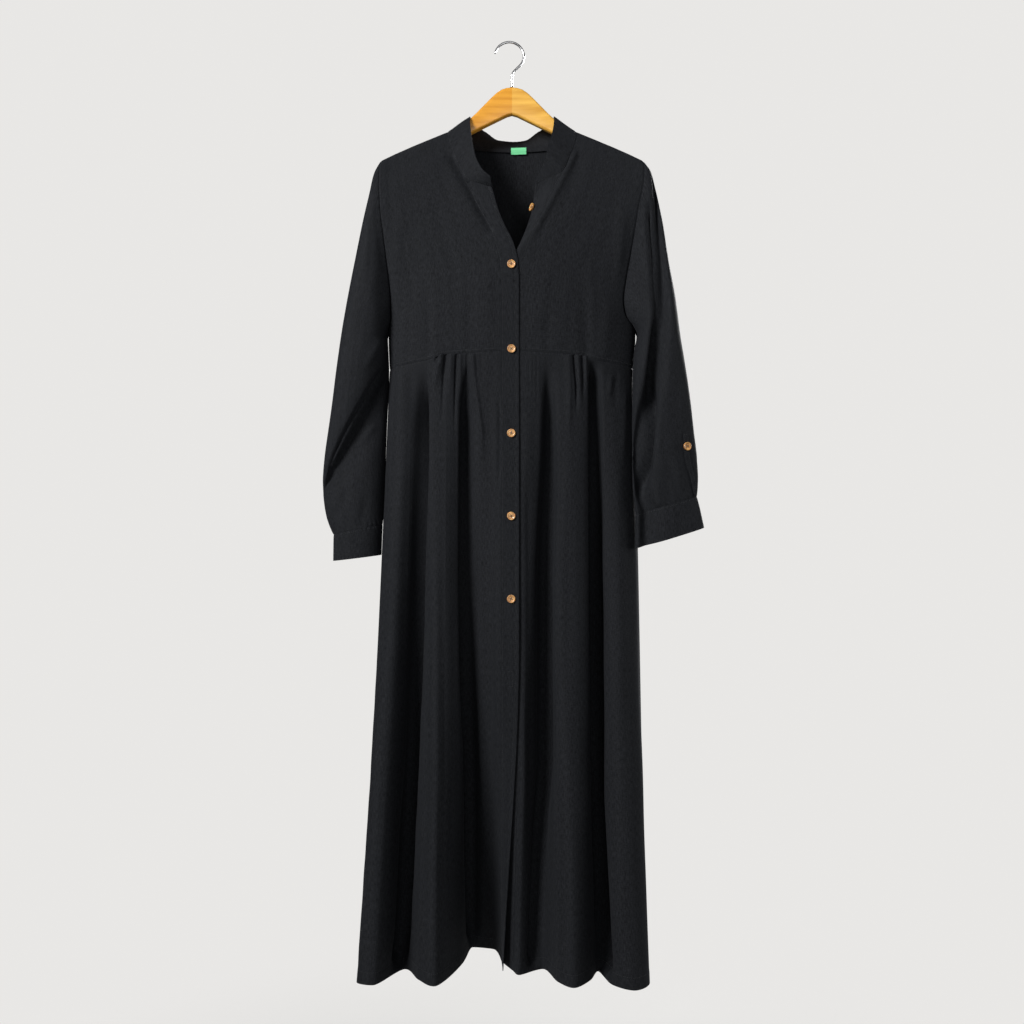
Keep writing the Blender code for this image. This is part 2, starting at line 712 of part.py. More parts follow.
def sleeve_rings(table, front_table, side):
    """All rings of a sleeve, the first one set off from the armhole's edge."""
    steps = range(SLEEVE_STEPS + 1)
    rings = [ring_points(table, front_table, side, step / SLEEVE_STEPS) for step in steps]
    rings[0] = [
        start + (after - start).normalized() * ARMHOLE_GAP
        for start, after in zip(rings[0], rings[1])
    ]
    return rings


def from_slit(ring, side):
    """A ring's points in order from the slit round to the slit again."""
    ring = ring[:-1]
    turned = ring[SLIT_COLUMNS[side]:] + ring[:SLIT_COLUMNS[side]]
    return turned + [turned[0].copy()]


def sleeve_panel(name, table, front_table, side, material):
    """A sleeve, closed round the arm down to the top of its slit."""
    rings = [from_slit(ring, side) for ring in sleeve_rings(table, front_table, side)]
    for number, ring in enumerate(rings):
        if number > SLIT_ROW:
            part_edges(ring)
    if side > 0:
        rings = [list(reversed(ring)) for ring in rings]
    return make_panel(name, rings, material, wrap_above=SLIT_ROW)


def part_edges(ring):
    """Opens a ring at its slit by moving its two ends apart."""
    start = (ring[1] - ring[0]).normalized() * SLIT_HALF
    end = (ring[-2] - ring[-1]).normalized() * SLIT_HALF
    ring[0] = ring[0] + start
    ring[-1] = ring[-1] + end


def cuff_panel(name, table, front_table, side, reach, material):
    """An open band below the sleeve, parted at the slit."""
    last = ring_points(table, front_table, side, 1.0)
    outer, inner = reach
    rows = []
    for share in CUFF_ROWS:
        ring = []
        for number, point in enumerate(last):
            swing = (1 + math.cos(math.pi * number / (len(ARM_ROWS) - 1))) / 2
            move_x = blend(inner[0], outer[0], swing) * side
            move_z = blend(inner[1], outer[1], swing)
            ring.append(point + Vector((move_x, 0, move_z)) * share)
        ring = from_slit(ring, side)
        part_edges(ring)
        rows.append(list(reversed(ring)) if side > 0 else ring)
    return make_panel(name, rows, material)


def sleeve_surface(rings, row, column):
    """A point on the sleeve between its rings and columns, and the way out from it."""
    low_row = min(int(row), len(rings) - 2)
    low = min(int(column), len(rings[0]) - 2)
    corners = [rings[low_row + i][low + j] for i in (0, 1) for j in (0, 1)]
    top = corners[0].lerp(corners[1], column - low)
    bottom = corners[2].lerp(corners[3], column - low)
    out = (corners[1] - corners[0]).cross(corners[2] - corners[0]).normalized()
    middle = sum(rings[low_row][:-1], Vector()) / (len(rings[0]) - 1)
    if out.dot(corners[0] - middle) < 0:
        out = -out
    return top.lerp(bottom, row - low_row), out


def tab_panel(name, table, front_table, side, material):
    """The bound strip that lies on the sleeve beside its slit."""
    rings = sleeve_rings(table, front_table, side)
    rows = []
    for step in range(TAB_STEPS + 1):
        row = []
        for across in (0, 0.5, 1):
            place = blend(*TAB_COLUMNS[side], across)
            point, out = sleeve_surface(rings, blend(*TAB_ROWS, step / TAB_STEPS), place)
            row.append(point + out * (SEAM_GAP + CLOTH + TAB_LIFT))
        rows.append(row)
    return make_panel(name, rows, material)


def collar_panel(name, material):
    """The stand collar, from its right front end round the back to its left front end."""
    right = collar_side(FRONT_RIGHT, FREE_EDGE_RIGHT, COLLAR_RIGHT, -1)
    left = collar_side(FRONT_LEFT, FREE_EDGE_LEFT, COLLAR_LEFT, 1)
    back = []
    for (seam_x, seam_z), (top_x, top_y, top_z) in zip(reversed(BACK_NECK[:-1]), COLLAR_BACK):
        seam = Vector((seam_x, body_y(seam_x, seam_z, True), seam_z))
        back.append((seam, Vector((top_x, top_y + ridge_y(top_x), top_z))))
    mirrored = [tuple(Vector((-p.x, p.y, p.z)) for p in pair) for pair in back]
    stations = left + back + list(reversed(mirrored[:-1])) + list(reversed(right))
    rows = []
    for step in range(COLLAR_HEIGHT_ROWS + 1):
        part = 1 - step / COLLAR_HEIGHT_ROWS
        row = []
        for seam, top in stations:
            start = seam + (top - seam).normalized() * COLLAR_GAP
            row.append(start.lerp(top, part))
        rows.append(row)
    return make_panel(name, rows, material)


def collar_side(front_table, edge_table, tops, side):
    """The collar's seam and top points on one front, from its front end to the shoulder."""
    corner = through(front_table, PLACKET_START)[:2]
    free = through(edge_table, PLACKET_START)
    seams = [(free[0], free[1], free[2]), None]
    seams[1] = tuple(blend(a, b, 0.5) for a, b in zip(seams[0], corner + (0.0,)))
    for along in reversed([row for row in ARM_ROWS if row <= PLACKET_START]):
        seams.append(through(front_table, along)[:2] + (0.0,))
    pairs = []
    for (x, z, turn), (top_x, top_y, top_z) in zip(seams, tops):
        seam = Vector((x * side, body_y(x, z) + turn, z))
        top = Vector((top_x * side, top_y + ridge_y(top_x), top_z))
        pairs.append((seam, top))
    return pairs


def button(name, place, facing, material):
    """A round button whose back lies against the cloth at a place."""
    disc = bmesh.new()
    bmesh.ops.create_cone(
        disc, cap_ends=True, segments=BUTTON_SIDES,
        radius1=BUTTON_RADIUS, radius2=BUTTON_RADIUS, depth=BUTTON_THICK,
    )
    mesh = bpy.data.meshes.new(name)
    disc.to_mesh(mesh)
    disc.free()
    piece = make_object(name, mesh, material)
    facing = Vector(facing).normalized()
    piece.rotation_mode = "QUATERNION"
    piece.rotation_quaternion = facing.to_track_quat("Z", "Y")
    piece.location = Vector(place) + facing * (SEAM_GAP + BUTTON_THICK / 2)
    rim = piece.modifiers.new("rim", "BEVEL")
    rim.width = BUTTON_RIM
    rim.segments = 1
    return piece


def front_buttons(material):
    """The buttons down the upper band, on the bodice and on the skirt."""
    edge_x = SKIRT_RIGHT[0][1]
    place = (BUTTON_X - edge_x) / (SKIRT_RIGHT[1][1] - edge_x)
    for number, z in enumerate(BUTTON_HEIGHTS, start=1):
        if z > WAIST_Z:
            y = body_y(BUTTON_X, z) - LAP
        else:
            part = (z - WAIST_Z) / (HEM_Z - WAIST_Z)
            y = skirt_section(SKIRT_RIGHT, -1, place, part).y - LAP * (1 - LAP_LOSS * part)
        button(f"button_{number}", (BUTTON_X, y, z), (0, -1, 0), material)


def neck_button(material):
    """The top button, on the turned edge of the under band."""
    inner = through(FRONT_LEFT, NECK_BUTTON_ALONG)
    edge = through(FREE_EDGE_LEFT, NECK_BUTTON_ALONG)
    part = NECK_BUTTON_ACROSS
    x = blend(inner[0], edge[0], part)
    z = blend(inner[1], edge[1], part)
    y = body_y(x, z) + edge[2] * part * part
    place = Vector((x, y, z)) + Vector(NECK_BUTTON_OFFSET)
    button("button_neck", place, NECK_BUTTON_FACING, material)


def sleeve_button(name, table, front_table, side, material):
    """The button on the upper end of a sleeve's bound strip."""
    rings = sleeve_rings(table, front_table, side)
    point, out = sleeve_surface(rings, BUTTON_ROW, sum(TAB_COLUMNS[side]) / 2)
    lift = SEAM_GAP + CLOTH + 4 * TAB_LIFT
    button(name, point + out * lift, out, material)


def neck_label(material):
    """The blank tab sewn in at the back neck seam."""
    rows = []
    for z in LABEL_HEIGHTS:
        row = []
        for x in LABEL_PLACES:
            y = body_y(x, min(z, BACK_NECK[0][1]), True) - CLOTH - 2 * SEAM_GAP
            row.append(Vector((x, y, z)))
        rows.append(row)
    return make_panel("neck_label", rows, material, thickness=LABEL_THICK)


def hanger_body(material):
    """The wooden hanger: rounded sections along both arms, swept forward."""
    places = [(-row[0],) + row[1:] for row in reversed(HANGER_ARM[1:])] + list(HANGER_ARM)
    wood = bmesh.new()
    rings = []
    for x, top, bottom in places:
        shrink = HANGER_END_SHRINK if abs(x) >= HANGER_END_X else 1.0
        ring = []
        for side in range(HANGER_SIDES):
            angle = 2 * math.pi * side / HANGER_SIDES
            wide, high = math.sin(angle), math.cos(angle)
            y = math.copysign(abs(wide) ** (2 / HANGER_SIDE_CORNER), wide)
            y *= HANGER_HALF_THICK * shrink
            z = math.copysign(abs(high) ** (2 / HANGER_TOP_CORNER), high)
            middle = (top + bottom) / 2
            ring.append(wood.verts.new((x, y + ridge_y(x), middle + z * (top - bottom) / 2)))
        rings.append(ring)
    for left, right in zip(rings, rings[1:]):
        for side in range(HANGER_SIDES):
            nxt = (side + 1) % HANGER_SIDES
            wood.faces.new((left[side], right[side], right[nxt], left[nxt]))
    wood.faces.new(rings[0])
    wood.faces.new(reversed(rings[-1]))
    bmesh.ops.recalc_face_normals(wood, faces=wood.faces)
    mesh = bpy.data.meshes.new("hanger")
    wood.to_mesh(mesh)
    wood.free()
    return make_object("hanger", mesh, material)


def wire_hook(material):
    """The wire hook, from its tip over the saddle and down to the wood."""
    centre_z = WIRE_RADIUS - HOOK_RADIUS
    points = []
    for degrees in range(HOOK_TIP_ANGLE, HOOK_TURN_ANGLE - 1, -HOOK_TURN_STEP):
        angle = math.radians(degrees)
        points.append((HOOK_RADIUS * math.cos(angle), centre_z + HOOK_RADIUS * math.sin(angle)))
    points += list(HOOK_SHANK)
    wire = bpy.data.curves.new("hook", "CURVE")
    wire.dimensions = "3D"
    wire.bevel_depth = WIRE_RADIUS
    wire.bevel_resolution = 3
    wire.use_fill_caps = True
    path = wire.splines.new("POLY")
    path.points.add(len(points) - 1)
    for control, (x, z) in zip(path.points, points):
        control.co = (x, 0.0, z, 1.0)
    wire.materials.append(material)
    hook = bpy.data.objects.new("hook", wire)
    parts.objects.link(hook)
    return hook


def make_material(name, colour, roughness, metallic=0.0):
    material = bpy.data.materials.new(name)
    material.use_nodes = True
    shader = material.node_tree.nodes["Principled BSDF"]
    shader.inputs["Base Color"].default_value = (*colour, 1.0)
    shader.inputs["Roughness"].default_value = roughness
    shader.inputs["Metallic"].default_value = metallic
    return material


for old in list(bpy.data.objects):
    bpy.data.objects.remove(old, do_unlink=True)

parts = bpy.data.collections.new("abaya_on_hanger")
bpy.context.scene.collection.children.link(parts)
garment_line = bpy.data.objects.new("garment_line", None)
garment_line.location = (CENTRE_X, 0.0, 0.0)
parts.objects.link(garment_line)

black_cloth = make_material("black_cloth", (0.016, 0.017, 0.019), 0.85)
horn = make_material("horn", (0.50, 0.34, 0.22), 0.45)
green_tape = make_material("green_tape", (0.10, 0.55, 0.22), 0.7)
beech = make_material("varnished_wood", (0.78, 0.50, 0.12), 0.35)
steel = make_material("steel_wire", (0.75, 0.75, 0.76), 0.25, 1.0)

front_panel("front_bodice_right", FRONT_RIGHT, -1, black_cloth)
front_panel("front_bodice_left", FRONT_LEFT, 1, black_cloth)
back_panel("back_bodice", black_cloth)
skirt_panel("front_skirt_right", SKIRT_RIGHT, -1, black_cloth)
skirt_panel("front_skirt_left", SKIRT_LEFT, 1, black_cloth)
skirt_panel("back_skirt", SKIRT_BACK, 1, black_cloth, back=True)
placket_panel("placket_top", FRONT_RIGHT, FREE_EDGE_RIGHT, SKIRT_RIGHT, -1, LAP, black_cloth)
placket_panel("placket_under", FRONT_LEFT, FREE_EDGE_LEFT, SKIRT_LEFT, 1, 0.0, black_cloth)
collar_panel("collar", black_cloth)
for hand, rings_table, hole_table, side, reach in (
    ("right", SLEEVE_RIGHT, FRONT_RIGHT, -1, CUFF_RIGHT),
    ("left", SLEEVE_LEFT, FRONT_LEFT, 1, CUFF_LEFT),
):
    sleeve_panel(f"sleeve_{hand}", rings_table, hole_table, side, black_cloth)
    cuff_panel(f"cuff_{hand}", rings_table, hole_table, side, reach, black_cloth)
    tab_panel(f"sleeve_tab_{hand}", rings_table, hole_table, side, black_cloth)
    sleeve_button(f"button_sleeve_{hand}", rings_table, hole_table, side, horn)
front_buttons(horn)
neck_button(horn)
neck_label(green_tape)
hanger_body(beech)
wire_hook(steel)
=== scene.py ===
"""A black abaya dress on a wooden hanger, dressed for its picture.

The front faces -Y and the wearer's right side is at -X, on the viewer's left. Each
cloth piece is a fine sheet on the sections of its solid, with its creases, rolled
seams and sewing. All sizes are in metres.
"""
import math

import bmesh
import bpy
import numpy as np
from mathutils import Matrix, Vector


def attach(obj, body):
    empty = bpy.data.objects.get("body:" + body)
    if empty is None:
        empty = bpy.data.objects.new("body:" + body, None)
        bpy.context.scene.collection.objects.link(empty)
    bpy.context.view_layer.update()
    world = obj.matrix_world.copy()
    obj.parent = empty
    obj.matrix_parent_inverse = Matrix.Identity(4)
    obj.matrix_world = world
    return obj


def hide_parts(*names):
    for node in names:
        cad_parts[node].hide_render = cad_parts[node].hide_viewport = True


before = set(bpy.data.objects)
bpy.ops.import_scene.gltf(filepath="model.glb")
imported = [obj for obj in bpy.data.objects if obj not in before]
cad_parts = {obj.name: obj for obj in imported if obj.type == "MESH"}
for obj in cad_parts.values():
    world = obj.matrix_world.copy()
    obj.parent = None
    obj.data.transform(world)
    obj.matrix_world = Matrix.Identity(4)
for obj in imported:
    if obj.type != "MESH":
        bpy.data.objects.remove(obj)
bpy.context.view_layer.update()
bpy.ops.object.select_all(action="DESELECT")

# Sizes of the cloth and its seams
CENTRE_X = 0.0043
CLOTH_THICK = 0.0009
SEAM_GAP = 0.0003
SIDE_GAP = 0.0006
SIDE_TURN = 0.008
SHOULDER_GAP = 0.00025
COLLAR_GAP = 0.0002
LAP = 0.0019
LAP_INNER = 0.017
LAP_REACH = 0.055
LAP_TOP = -0.30
LAP_FADE = 0.05
LAP_LOSS = 0.6
WAIST_Z = -0.4934
KNEE_Z = -0.94
HEM_Z = -1.4535
BODY_CORNER = 2.6
HANGER_SWEEP = 0.020
HANGER_END_X = 0.200
SWEEP_FADE = 0.22
ARMPIT_FROM = 0.95
ARMPIT_SPAN = 0.05
ARMPIT_Z = -0.455
ARMPIT_FADE = 0.01
WAIST_FADE = 0.004
CREASE_ANGLE = 70
SMOOTH_ANGLE = 35

# The room, the camera and the lights
ROOM_COLOUR = (0.81, 0.80, 0.785)
ROOM_LIGHT = 0.09
FLOOR_Z = -2.05
FLOOR_RADIUS = 1.6
FLOOR_CLEAR = (0.25, 1.52)
FLOOR_RIM = (0.50, 0.50, 0.49)
FLOOR_MIDDLE = (0.46, 0.46, 0.45)
CAMERA_PLACE = (CENTRE_X, -1.6, -0.7405)
CAMERA_LENS = 35.6
CAMERA_SENSOR = 36.0

# Lights: name, place, the height they aim at, size, power, colour
LIGHTS = (
    ("key light", (-2.1, -2.0, 0.8), -0.7, 1.1, 150, (1.0, 1.0, 1.0)),
    ("fill light", (0.3, -2.7, -0.35), -0.8, 2.0, 18, (0.97, 0.98, 1.0)),
    ("back light", (1.7, 2.3, 0.6), -0.7, 1.4, 150, (1.0, 1.0, 1.0)),
    ("side light", (2.9, -0.25, -0.3), -0.8, 1.6, 42, (0.98, 0.99, 1.0)),
)

# The black of the cloth, from its darkest threads to its lightest slubs
CLOTH_DARK = (0.0040, 0.0044, 0.0053)
CLOTH_LIGHT = (0.0160, 0.0170, 0.0195)
SHEEN_TINT = (0.55, 0.58, 0.65, 1)

# Threads of the weave: name, how far apart across and along, and how fine
WEAVE = (
    ("long slubs", 0.0012, 0.0080, 3.0),
    ("cross slubs", 0.0045, 0.0011, 2.0),
    ("wide bands", 0.011, 0.25, 2.0),
)
CROSS_SHARE = 0.40
BAND_SHARE = 0.12

# Plain finishes: dark, light, how the noise is stretched, roughness
FINISHES = {
    "black thread": ((0.007, 0.0075, 0.009), (0.019, 0.020, 0.022), (900, 900, 900), 0.5),
    "dark button thread": ((0.02, 0.015, 0.012), (0.06, 0.045, 0.035), (900, 900, 900), 0.6),
    "green tape": ((0.10, 0.46, 0.20), (0.16, 0.60, 0.28), (60, 60, 2200), 0.65),
    "mottled horn": ((0.26, 0.11, 0.030), (0.66, 0.36, 0.13), (160, 160, 90), 0.32),
    # The hanger's two arms are one varnished wood: the right arm's darker colours are painted shade,
    # the left arm's lighter colours painted light.
    "varnished wood, right arm, painted shade": ((0.52, 0.210, 0.014), (0.74, 0.345, 0.036), (9, 300, 120), 0.34),
    "varnished wood, left arm, painted light": ((0.58, 0.285, 0.040), (0.78, 0.440, 0.080), (9, 300, 120), 0.34),
    "bright wire": ((0.62, 0.62, 0.63), (0.80, 0.80, 0.81), (500, 500, 500), 0.22),
}
POLISHED_HORN = {"Subsurface_Weight": 0.15, "Subsurface_Scale": 0.002, "Coat_Weight": 0.3}
VARNISH = {"detail": 6.0, "depth": 0.00008, "Coat_Weight": 0.45, "Coat_Roughness": 0.18}

# Sizes of the sewing
SEAM_ROLL = 0.0007
SEAM_ROLL_REACH = 0.0015
TUCK_PAST = 0.0024
TUCK_DEEP = 0.0012
TUCK_SHOW = 0.0001
TUCK_LOOK = 4
CALM_REACH = 0.018
COLLAR_HANG = 0.0026
PLACKET_GAP = 0.0001
TOPSTITCH_IN = 0.0045
EDGE_STITCH_IN = 0.0022
BAND_STITCH_IN = 0.0062
TAB_STITCH_IN = 0.0015
HEM_DEPTH = 0.018
HEM_RISE = 0.0004
HEM_STEP = 0.0012
BAND_RISE = 0.0006
BAND_ROLL = 0.0022
STITCH_PITCH = 0.0032
STITCH_LONG = 0.0023
STITCH_THICK = 0.00042
STITCH_FIRST = 0.4
STITCH_LIFT = 0.25
SMALL_STITCH = (0.0014, 0.0012, 0.0007)
SOFT_ROLL = 0.0004
LOW_ROLL = 0.0003
FLAT_ROLL = 0.0001

# A sewn line: its groove, and the puckers beside it
GROOVE_WIDTH = 0.0009
GROOVE_DEPTH = 0.00022
PUCKER_REACH = 0.0045
PUCKER_HEIGHT = 0.00016
PUCKER_PITCH = (0.0064, 0.031)
PUCKER_SWING = 2.1
CUFF_PUCKER_PITCH = (0.0075, 0.023)
CUFF_PUCKER_SWING = 2
CUFF_PUCKER_AT = 0.005
CUFF_PUCKER_REACH = 0.012
CUFF_PUCKER_HEIGHT = 0.0004

# Gentle waves of each kind of sheet: height and size of the wide ones, then the fine ones
FRONT_WAVES = ((0.0011, 0.12), (0.0005, 0.035))
BACK_WAVES = ((0.0014, 0.13), (0.0005, 0.04))
SKIRT_WAVES = ((0.0014, 0.16), (0.0006, 0.05))
SLEEVE_WAVES = ((0.0013, 0.11), (0.0006, 0.035))
BAND_WAVES = ((0.0005, 0.06),)
CUFF_WAVES = ((0.0006, 0.05),)
COLLAR_WAVES = ((0.0009, 0.05),)
LABEL_WAVES = ((0.0002, 0.012),)

# How the waves differ from each other: direction, height, pitch and start
WAVE_COUNT = 6
WAVE_TURN = (1.7, 2.399)
WAVE_TALL = (0.45, 0.35, 1.3)
WAVE_PITCH = (0.7, 0.13)
WAVE_START = (5.1, 1.9)

# The grid of each kind of sheet: rows and columns
FRONT_GRID = (120, 80)
BACK_GRID = (120, 150)
SKIRT_GRID = (190, 200)
BACK_SKIRT_GRID = (150, 230)
BAND_GRID = (330, 20)
SLEEVE_GRID = (150, 124)
CUFF_GRID = (26, 130)
TAB_GRID = (60, 14)
COLLAR_GRID = (22, 260)
LABEL_GRID = (14, 26)
CURVE_STEPS = 600
CLOSE_SHARES = (0.2, 0.42, 0.68)
BAND_SPLIT = 0.26

TAB_SEAMS = tuple((edge, TAB_STITCH_IN) for edge in ("left", "right", "top", "bottom"))

# Rows of stitches: the sheet, the end of the piece's name, and each edge with the distance
SEWN_LINES = (
    ("front_bodice_right", "waist_stitches", (("bottom", TOPSTITCH_IN),)),
    ("front_bodice_left", "waist_stitches", (("bottom", TOPSTITCH_IN),)),
    ("back_bodice", "waist_stitches", (("bottom", TOPSTITCH_IN),)),
    ("front_skirt_right", "hem_stitches", (("bottom", HEM_DEPTH),)),
    ("front_skirt_left", "hem_stitches", (("bottom", HEM_DEPTH),)),
    ("back_skirt", "hem_stitches", (("bottom", HEM_DEPTH),)),
    ("placket_top", "stitches", (("left", EDGE_STITCH_IN), ("right", BAND_STITCH_IN))),
    ("placket_under", "stitches", (("right", EDGE_STITCH_IN), ("left", BAND_STITCH_IN))),
    ("collar", "stitches", (("top", EDGE_STITCH_IN), ("bottom", EDGE_STITCH_IN))),
    ("cuff_right", "stitches", (("top", EDGE_STITCH_IN), ("bottom", EDGE_STITCH_IN))),
    ("cuff_left", "stitches", (("top", EDGE_STITCH_IN), ("bottom", EDGE_STITCH_IN))),
    ("sleeve_tab_right", "stitches", TAB_SEAMS),
    ("sleeve_tab_left", "stitches", TAB_SEAMS),
)

# The blank tape at the back neck: its sides and its top and bottom
LABEL_WIDE = (-0.0016, 0.0228)
LABEL_HIGH = (-0.1575, -0.1678)
LABEL_SET_IN = 0.0036
LABEL_THICK = 0.0005

# The hanger: distance from the middle, top z, bottom z
HANGER_ARM = (
    (0.0000, -0.0706, -0.1123),
    (0.0110, -0.0720, -0.1178),
    (0.0220, -0.0779, -0.1232),
    (0.0435, -0.0986, -0.1340),
    (0.0640, -0.1193, -0.1446),
    (0.0860, -0.1350, -0.1560),
    (0.1018, -0.1455, -0.1642),
    (0.1300, -0.1582, -0.1786),
    (0.1560, -0.1708, -0.1915),
    (0.1820, -0.1840, -0.2030),
    (0.1940, -0.1906, -0.2070),
    (0.2000, -0.1965, -0.2050),
)
HANGER_THICK = 0.0126
HANGER_STEPS = 26
HANGER_ROUND = 0.0042
HANGER_ROUND_STEPS = 5
HANGER_CORNER = 50
HANGER_OVERRUN = 0.0062

# The wire hook: its bend in degrees, and the path of its wire below the bend: x, z
WIRE_RADIUS = 0.0018
HOOK_RADIUS = 0.0231
HOOK_TIP_ANGLE = 168
HOOK_TURN_ANGLE = 3
HOOK_TIP_SHARES = (0.45, 0.85, 0.97)
HOOK_BEND_STEPS = 60
HOOK_SHANK_STEPS = 50
HOOK_COLLAR_WIRE = 0.0007
HOOK_COLLAR_UP = 0.0004
HOOK_SHANK = (
    (0.0226, -0.0240),
    (0.0206, -0.0302),
    (0.0152, -0.0368),
    (0.0106, -0.0412),
    (0.0074, -0.0446),
    (0.0054, -0.0474),
    (0.0045, -0.0506),
    (0.0044, -0.0560),
    (0.0044, -0.0703),
)

# Buttons: their size, and where the front ones are
BUTTON_RADIUS = 0.0063
BUTTON_THICK = 0.0026
BUTTON_X = -0.0008
BUTTON_HEIGHTS = (-0.3610, -0.4900, -0.6200, -0.7466, -0.8720)
BUTTON_HOLE_AT = 0.0015
BUTTON_HOLE_RADIUS = 0.0006
BUTTON_DRILL = 0.01
BUTTON_RIM = 0.0013
BUTTON_SLOPE = 0.0006
BUTTON_DISH = 0.0006
BUTTON_SOFT_EDGE = 0.0004
BUTTON_SOFT_ANGLE = 25
BUTTON_TURN = 0.7
STRAND_SIZE = (0.0052, 0.0009, 0.0008)
STRAND_SUNK = 0.0004
NECK_BUTTON = (0.0266, -0.2660)
TAB_BUTTON_ROW = 7

# The small sewn box above the front slit, and the buttonhole by the collar: x, z
SLIT_TACK = (
    (-0.0062, -0.9840),
    (-0.0062, -1.0060),
    (0.0012, -1.0060),
    (0.0012, -0.9840),
    (-0.0062, -0.9840),
)
NECK_HOLE = (
    (-0.0385, -0.2420),
    (-0.0310, -0.2505),
    (-0.0300, -0.2495),
    (-0.0375, -0.2410),
    (-0.0385, -0.2420),
)

# The top of the cloth along the shoulders: distance from the middle, height
SHOULDER_LINE = (
    (0.000, -0.0860),
    (0.030, -0.0960),
    (0.066, -0.1178),
    (0.1018, -0.1431),
    (0.130, -0.1560),
    (0.157, -0.1687),
    (0.182, -0.1813),
    (0.2038, -0.1935),
    (0.2150, -0.2010),
)

# How far the cloth stands out below the shoulder line: drop, front depth, back depth
FALL = (
    (0.0000, 0.0000, 0.0000),
    (0.0004, 0.0030, 0.0030),
    (0.0030, 0.0075, 0.0075),
    (0.0100, 0.0100, 0.0100),
    (0.0300, 0.0150, 0.0140),
    (0.0600, 0.0230, 0.0220),
    (0.1200, 0.0350, 0.0340),
    (0.2000, 0.0440, 0.0430),
    (0.3000, 0.0500, 0.0490),
    (0.4200, 0.0510, 0.0500),
)

# Half width of the body's oval: height, half width
BODY_WIDTH = (
    (-0.560, 0.1950),
    (-0.4555, 0.1953),
    (-0.400, 0.2080),
    (-0.330, 0.2350),
    (-0.260, 0.2800),
    (-0.190, 0.3400),
)

# Edges of the upper fronts, one row a station: along, inner x, inner z, outer x, outer z.
# Along is 0 at the shoulder, 1 at the armpit and 2 at the waist seam.
FRONT_RIGHT = (
    (0.000, 0.1018, -0.1431, 0.2038, -0.1935),
    (0.012, 0.1018, -0.1436, 0.2040, -0.1940),
    (0.030, 0.1017, -0.1465, 0.2047, -0.1970),
    (0.070, 0.1007, -0.1545, 0.2055, -0.2040),
    (0.160, 0.0965, -0.1705, 0.2060, -0.2260),
    (0.280, 0.0895, -0.1910, 0.2040, -0.2660),
    (0.400, 0.0800, -0.2095, 0.1995, -0.3070),
    (0.520, 0.0705, -0.2265, 0.1950, -0.3460),
    (0.640, 0.0570, -0.2600, 0.1905, -0.3830),
    (0.760, 0.0430, -0.2860, 0.1885, -0.4130),
    (0.880, 0.0290, -0.3180, 0.1885, -0.4370),
    (0.950, 0.0235, -0.3380, 0.1918, -0.4490),
    (1.000, 0.0195, -0.3560, 0.1953, -0.4555),
    (1.300, 0.0168, -0.3950, 0.1951, -0.4720),
    (2.000, 0.0168, -0.4934, 0.1929, -0.5170),
)
FRONT_LEFT = (
    (0.000, 0.1018, -0.1431, 0.2038, -0.1935),
    (0.012, 0.1018, -0.1436, 0.2040, -0.1940),
    (0.030, 0.1017, -0.1465, 0.2046, -0.1970),
    (0.070, 0.1007, -0.1545, 0.2052, -0.2040),
    (0.160, 0.0965, -0.1705, 0.2040, -0.2260),
    (0.280, 0.0895, -0.1880, 0.1960, -0.2660),
    (0.400, 0.0850, -0.2020, 0.1890, -0.3070),
    (0.520, 0.0785, -0.2130, 0.1825, -0.3460),
    (0.640, 0.0650, -0.2420, 0.1760, -0.3830),
    (0.760, 0.0500, -0.2700, 0.1725, -0.4120),
    (0.880, 0.0360, -0.3010, 0.1765, -0.4350),
    (0.950, 0.0280, -0.3200, 0.1875, -0.4480),
    (1.000, 0.0225, -0.3380, 0.1953, -0.4555),
    (1.300, 0.0120, -0.3900, 0.1951, -0.4720),
    (2.000, 0.0107, -0.4934, 0.1929, -0.5170),
)
BACK_EDGE = (
    (0.000, 0.2038, -0.1935),
    (0.012, 0.2040, -0.1940),
    (0.030, 0.2046, -0.1970),
    (0.070, 0.2052, -0.2040),
    (0.160, 0.2050, -0.2260),
    (0.280, 0.2020, -0.2660),
    (0.400, 0.1980, -0.3070),
    (0.520, 0.1940, -0.3460),
    (0.640, 0.1905, -0.3830),
    (0.760, 0.1885, -0.4130),
    (0.880, 0.1890, -0.4370),
    (0.950, 0.1918, -0.4490),
    (1.000, 0.1953, -0.4555),
    (1.300, 0.1951, -0.4720),
    (2.000, 0.1929, -0.5170),
)
ARM_ROWS = (0, .012, .03, .07, .16, .28, .4, .52, .64, .76, .88, .95, 1)
PLACKET_START = 0.52
EDGE_BEND = 6

# Free edges of the two front bands above the waist: along, x towards that side, z, turned in
FREE_EDGE_RIGHT = (
    (0.520, 0.0310, -0.2392, 0.0000),
    (0.640, 0.0215, -0.2735, 0.0000),
    (0.760, 0.0105, -0.3010, 0.0000),
    (0.880, -0.0020, -0.3270, 0.0000),
    (1.000, -0.0090, -0.3560, 0.0000),
    (1.300, -0.0107, -0.3950, 0.0000),
    (2.000, -0.0107, -0.4934, 0.0000),
)
FREE_EDGE_LEFT = (
    (0.520, 0.0360, -0.2330, 0.0080),
    (0.640, 0.0320, -0.2650, 0.0190),
    (0.760, 0.0240, -0.2950, 0.0150),
    (0.880, 0.0120, -0.3280, 0.0040),
    (1.000, -0.0050, -0.3600, 0.0000),
    (1.300, -0.0160, -0.3950, 0.0000),
    (2.000, -0.0168, -0.4934, 0.0000),
)

# The raised waist seam and the back neck seam: distance from the middle, height
WAIST_LINE = ((0.0, -0.4932), (0.108, -0.4990), (0.1295, -0.5065), (0.1960, -0.5173))
BACK_NECK = (
    (0.0000, -0.1620),
    (0.0350, -0.1620),
    (0.0660, -0.1610),
    (0.0880, -0.1580),
    (0.0980, -0.1530),
    (0.1010, -0.1470),
    (0.1015, -0.1446),
    (0.1018, -0.1431),
)

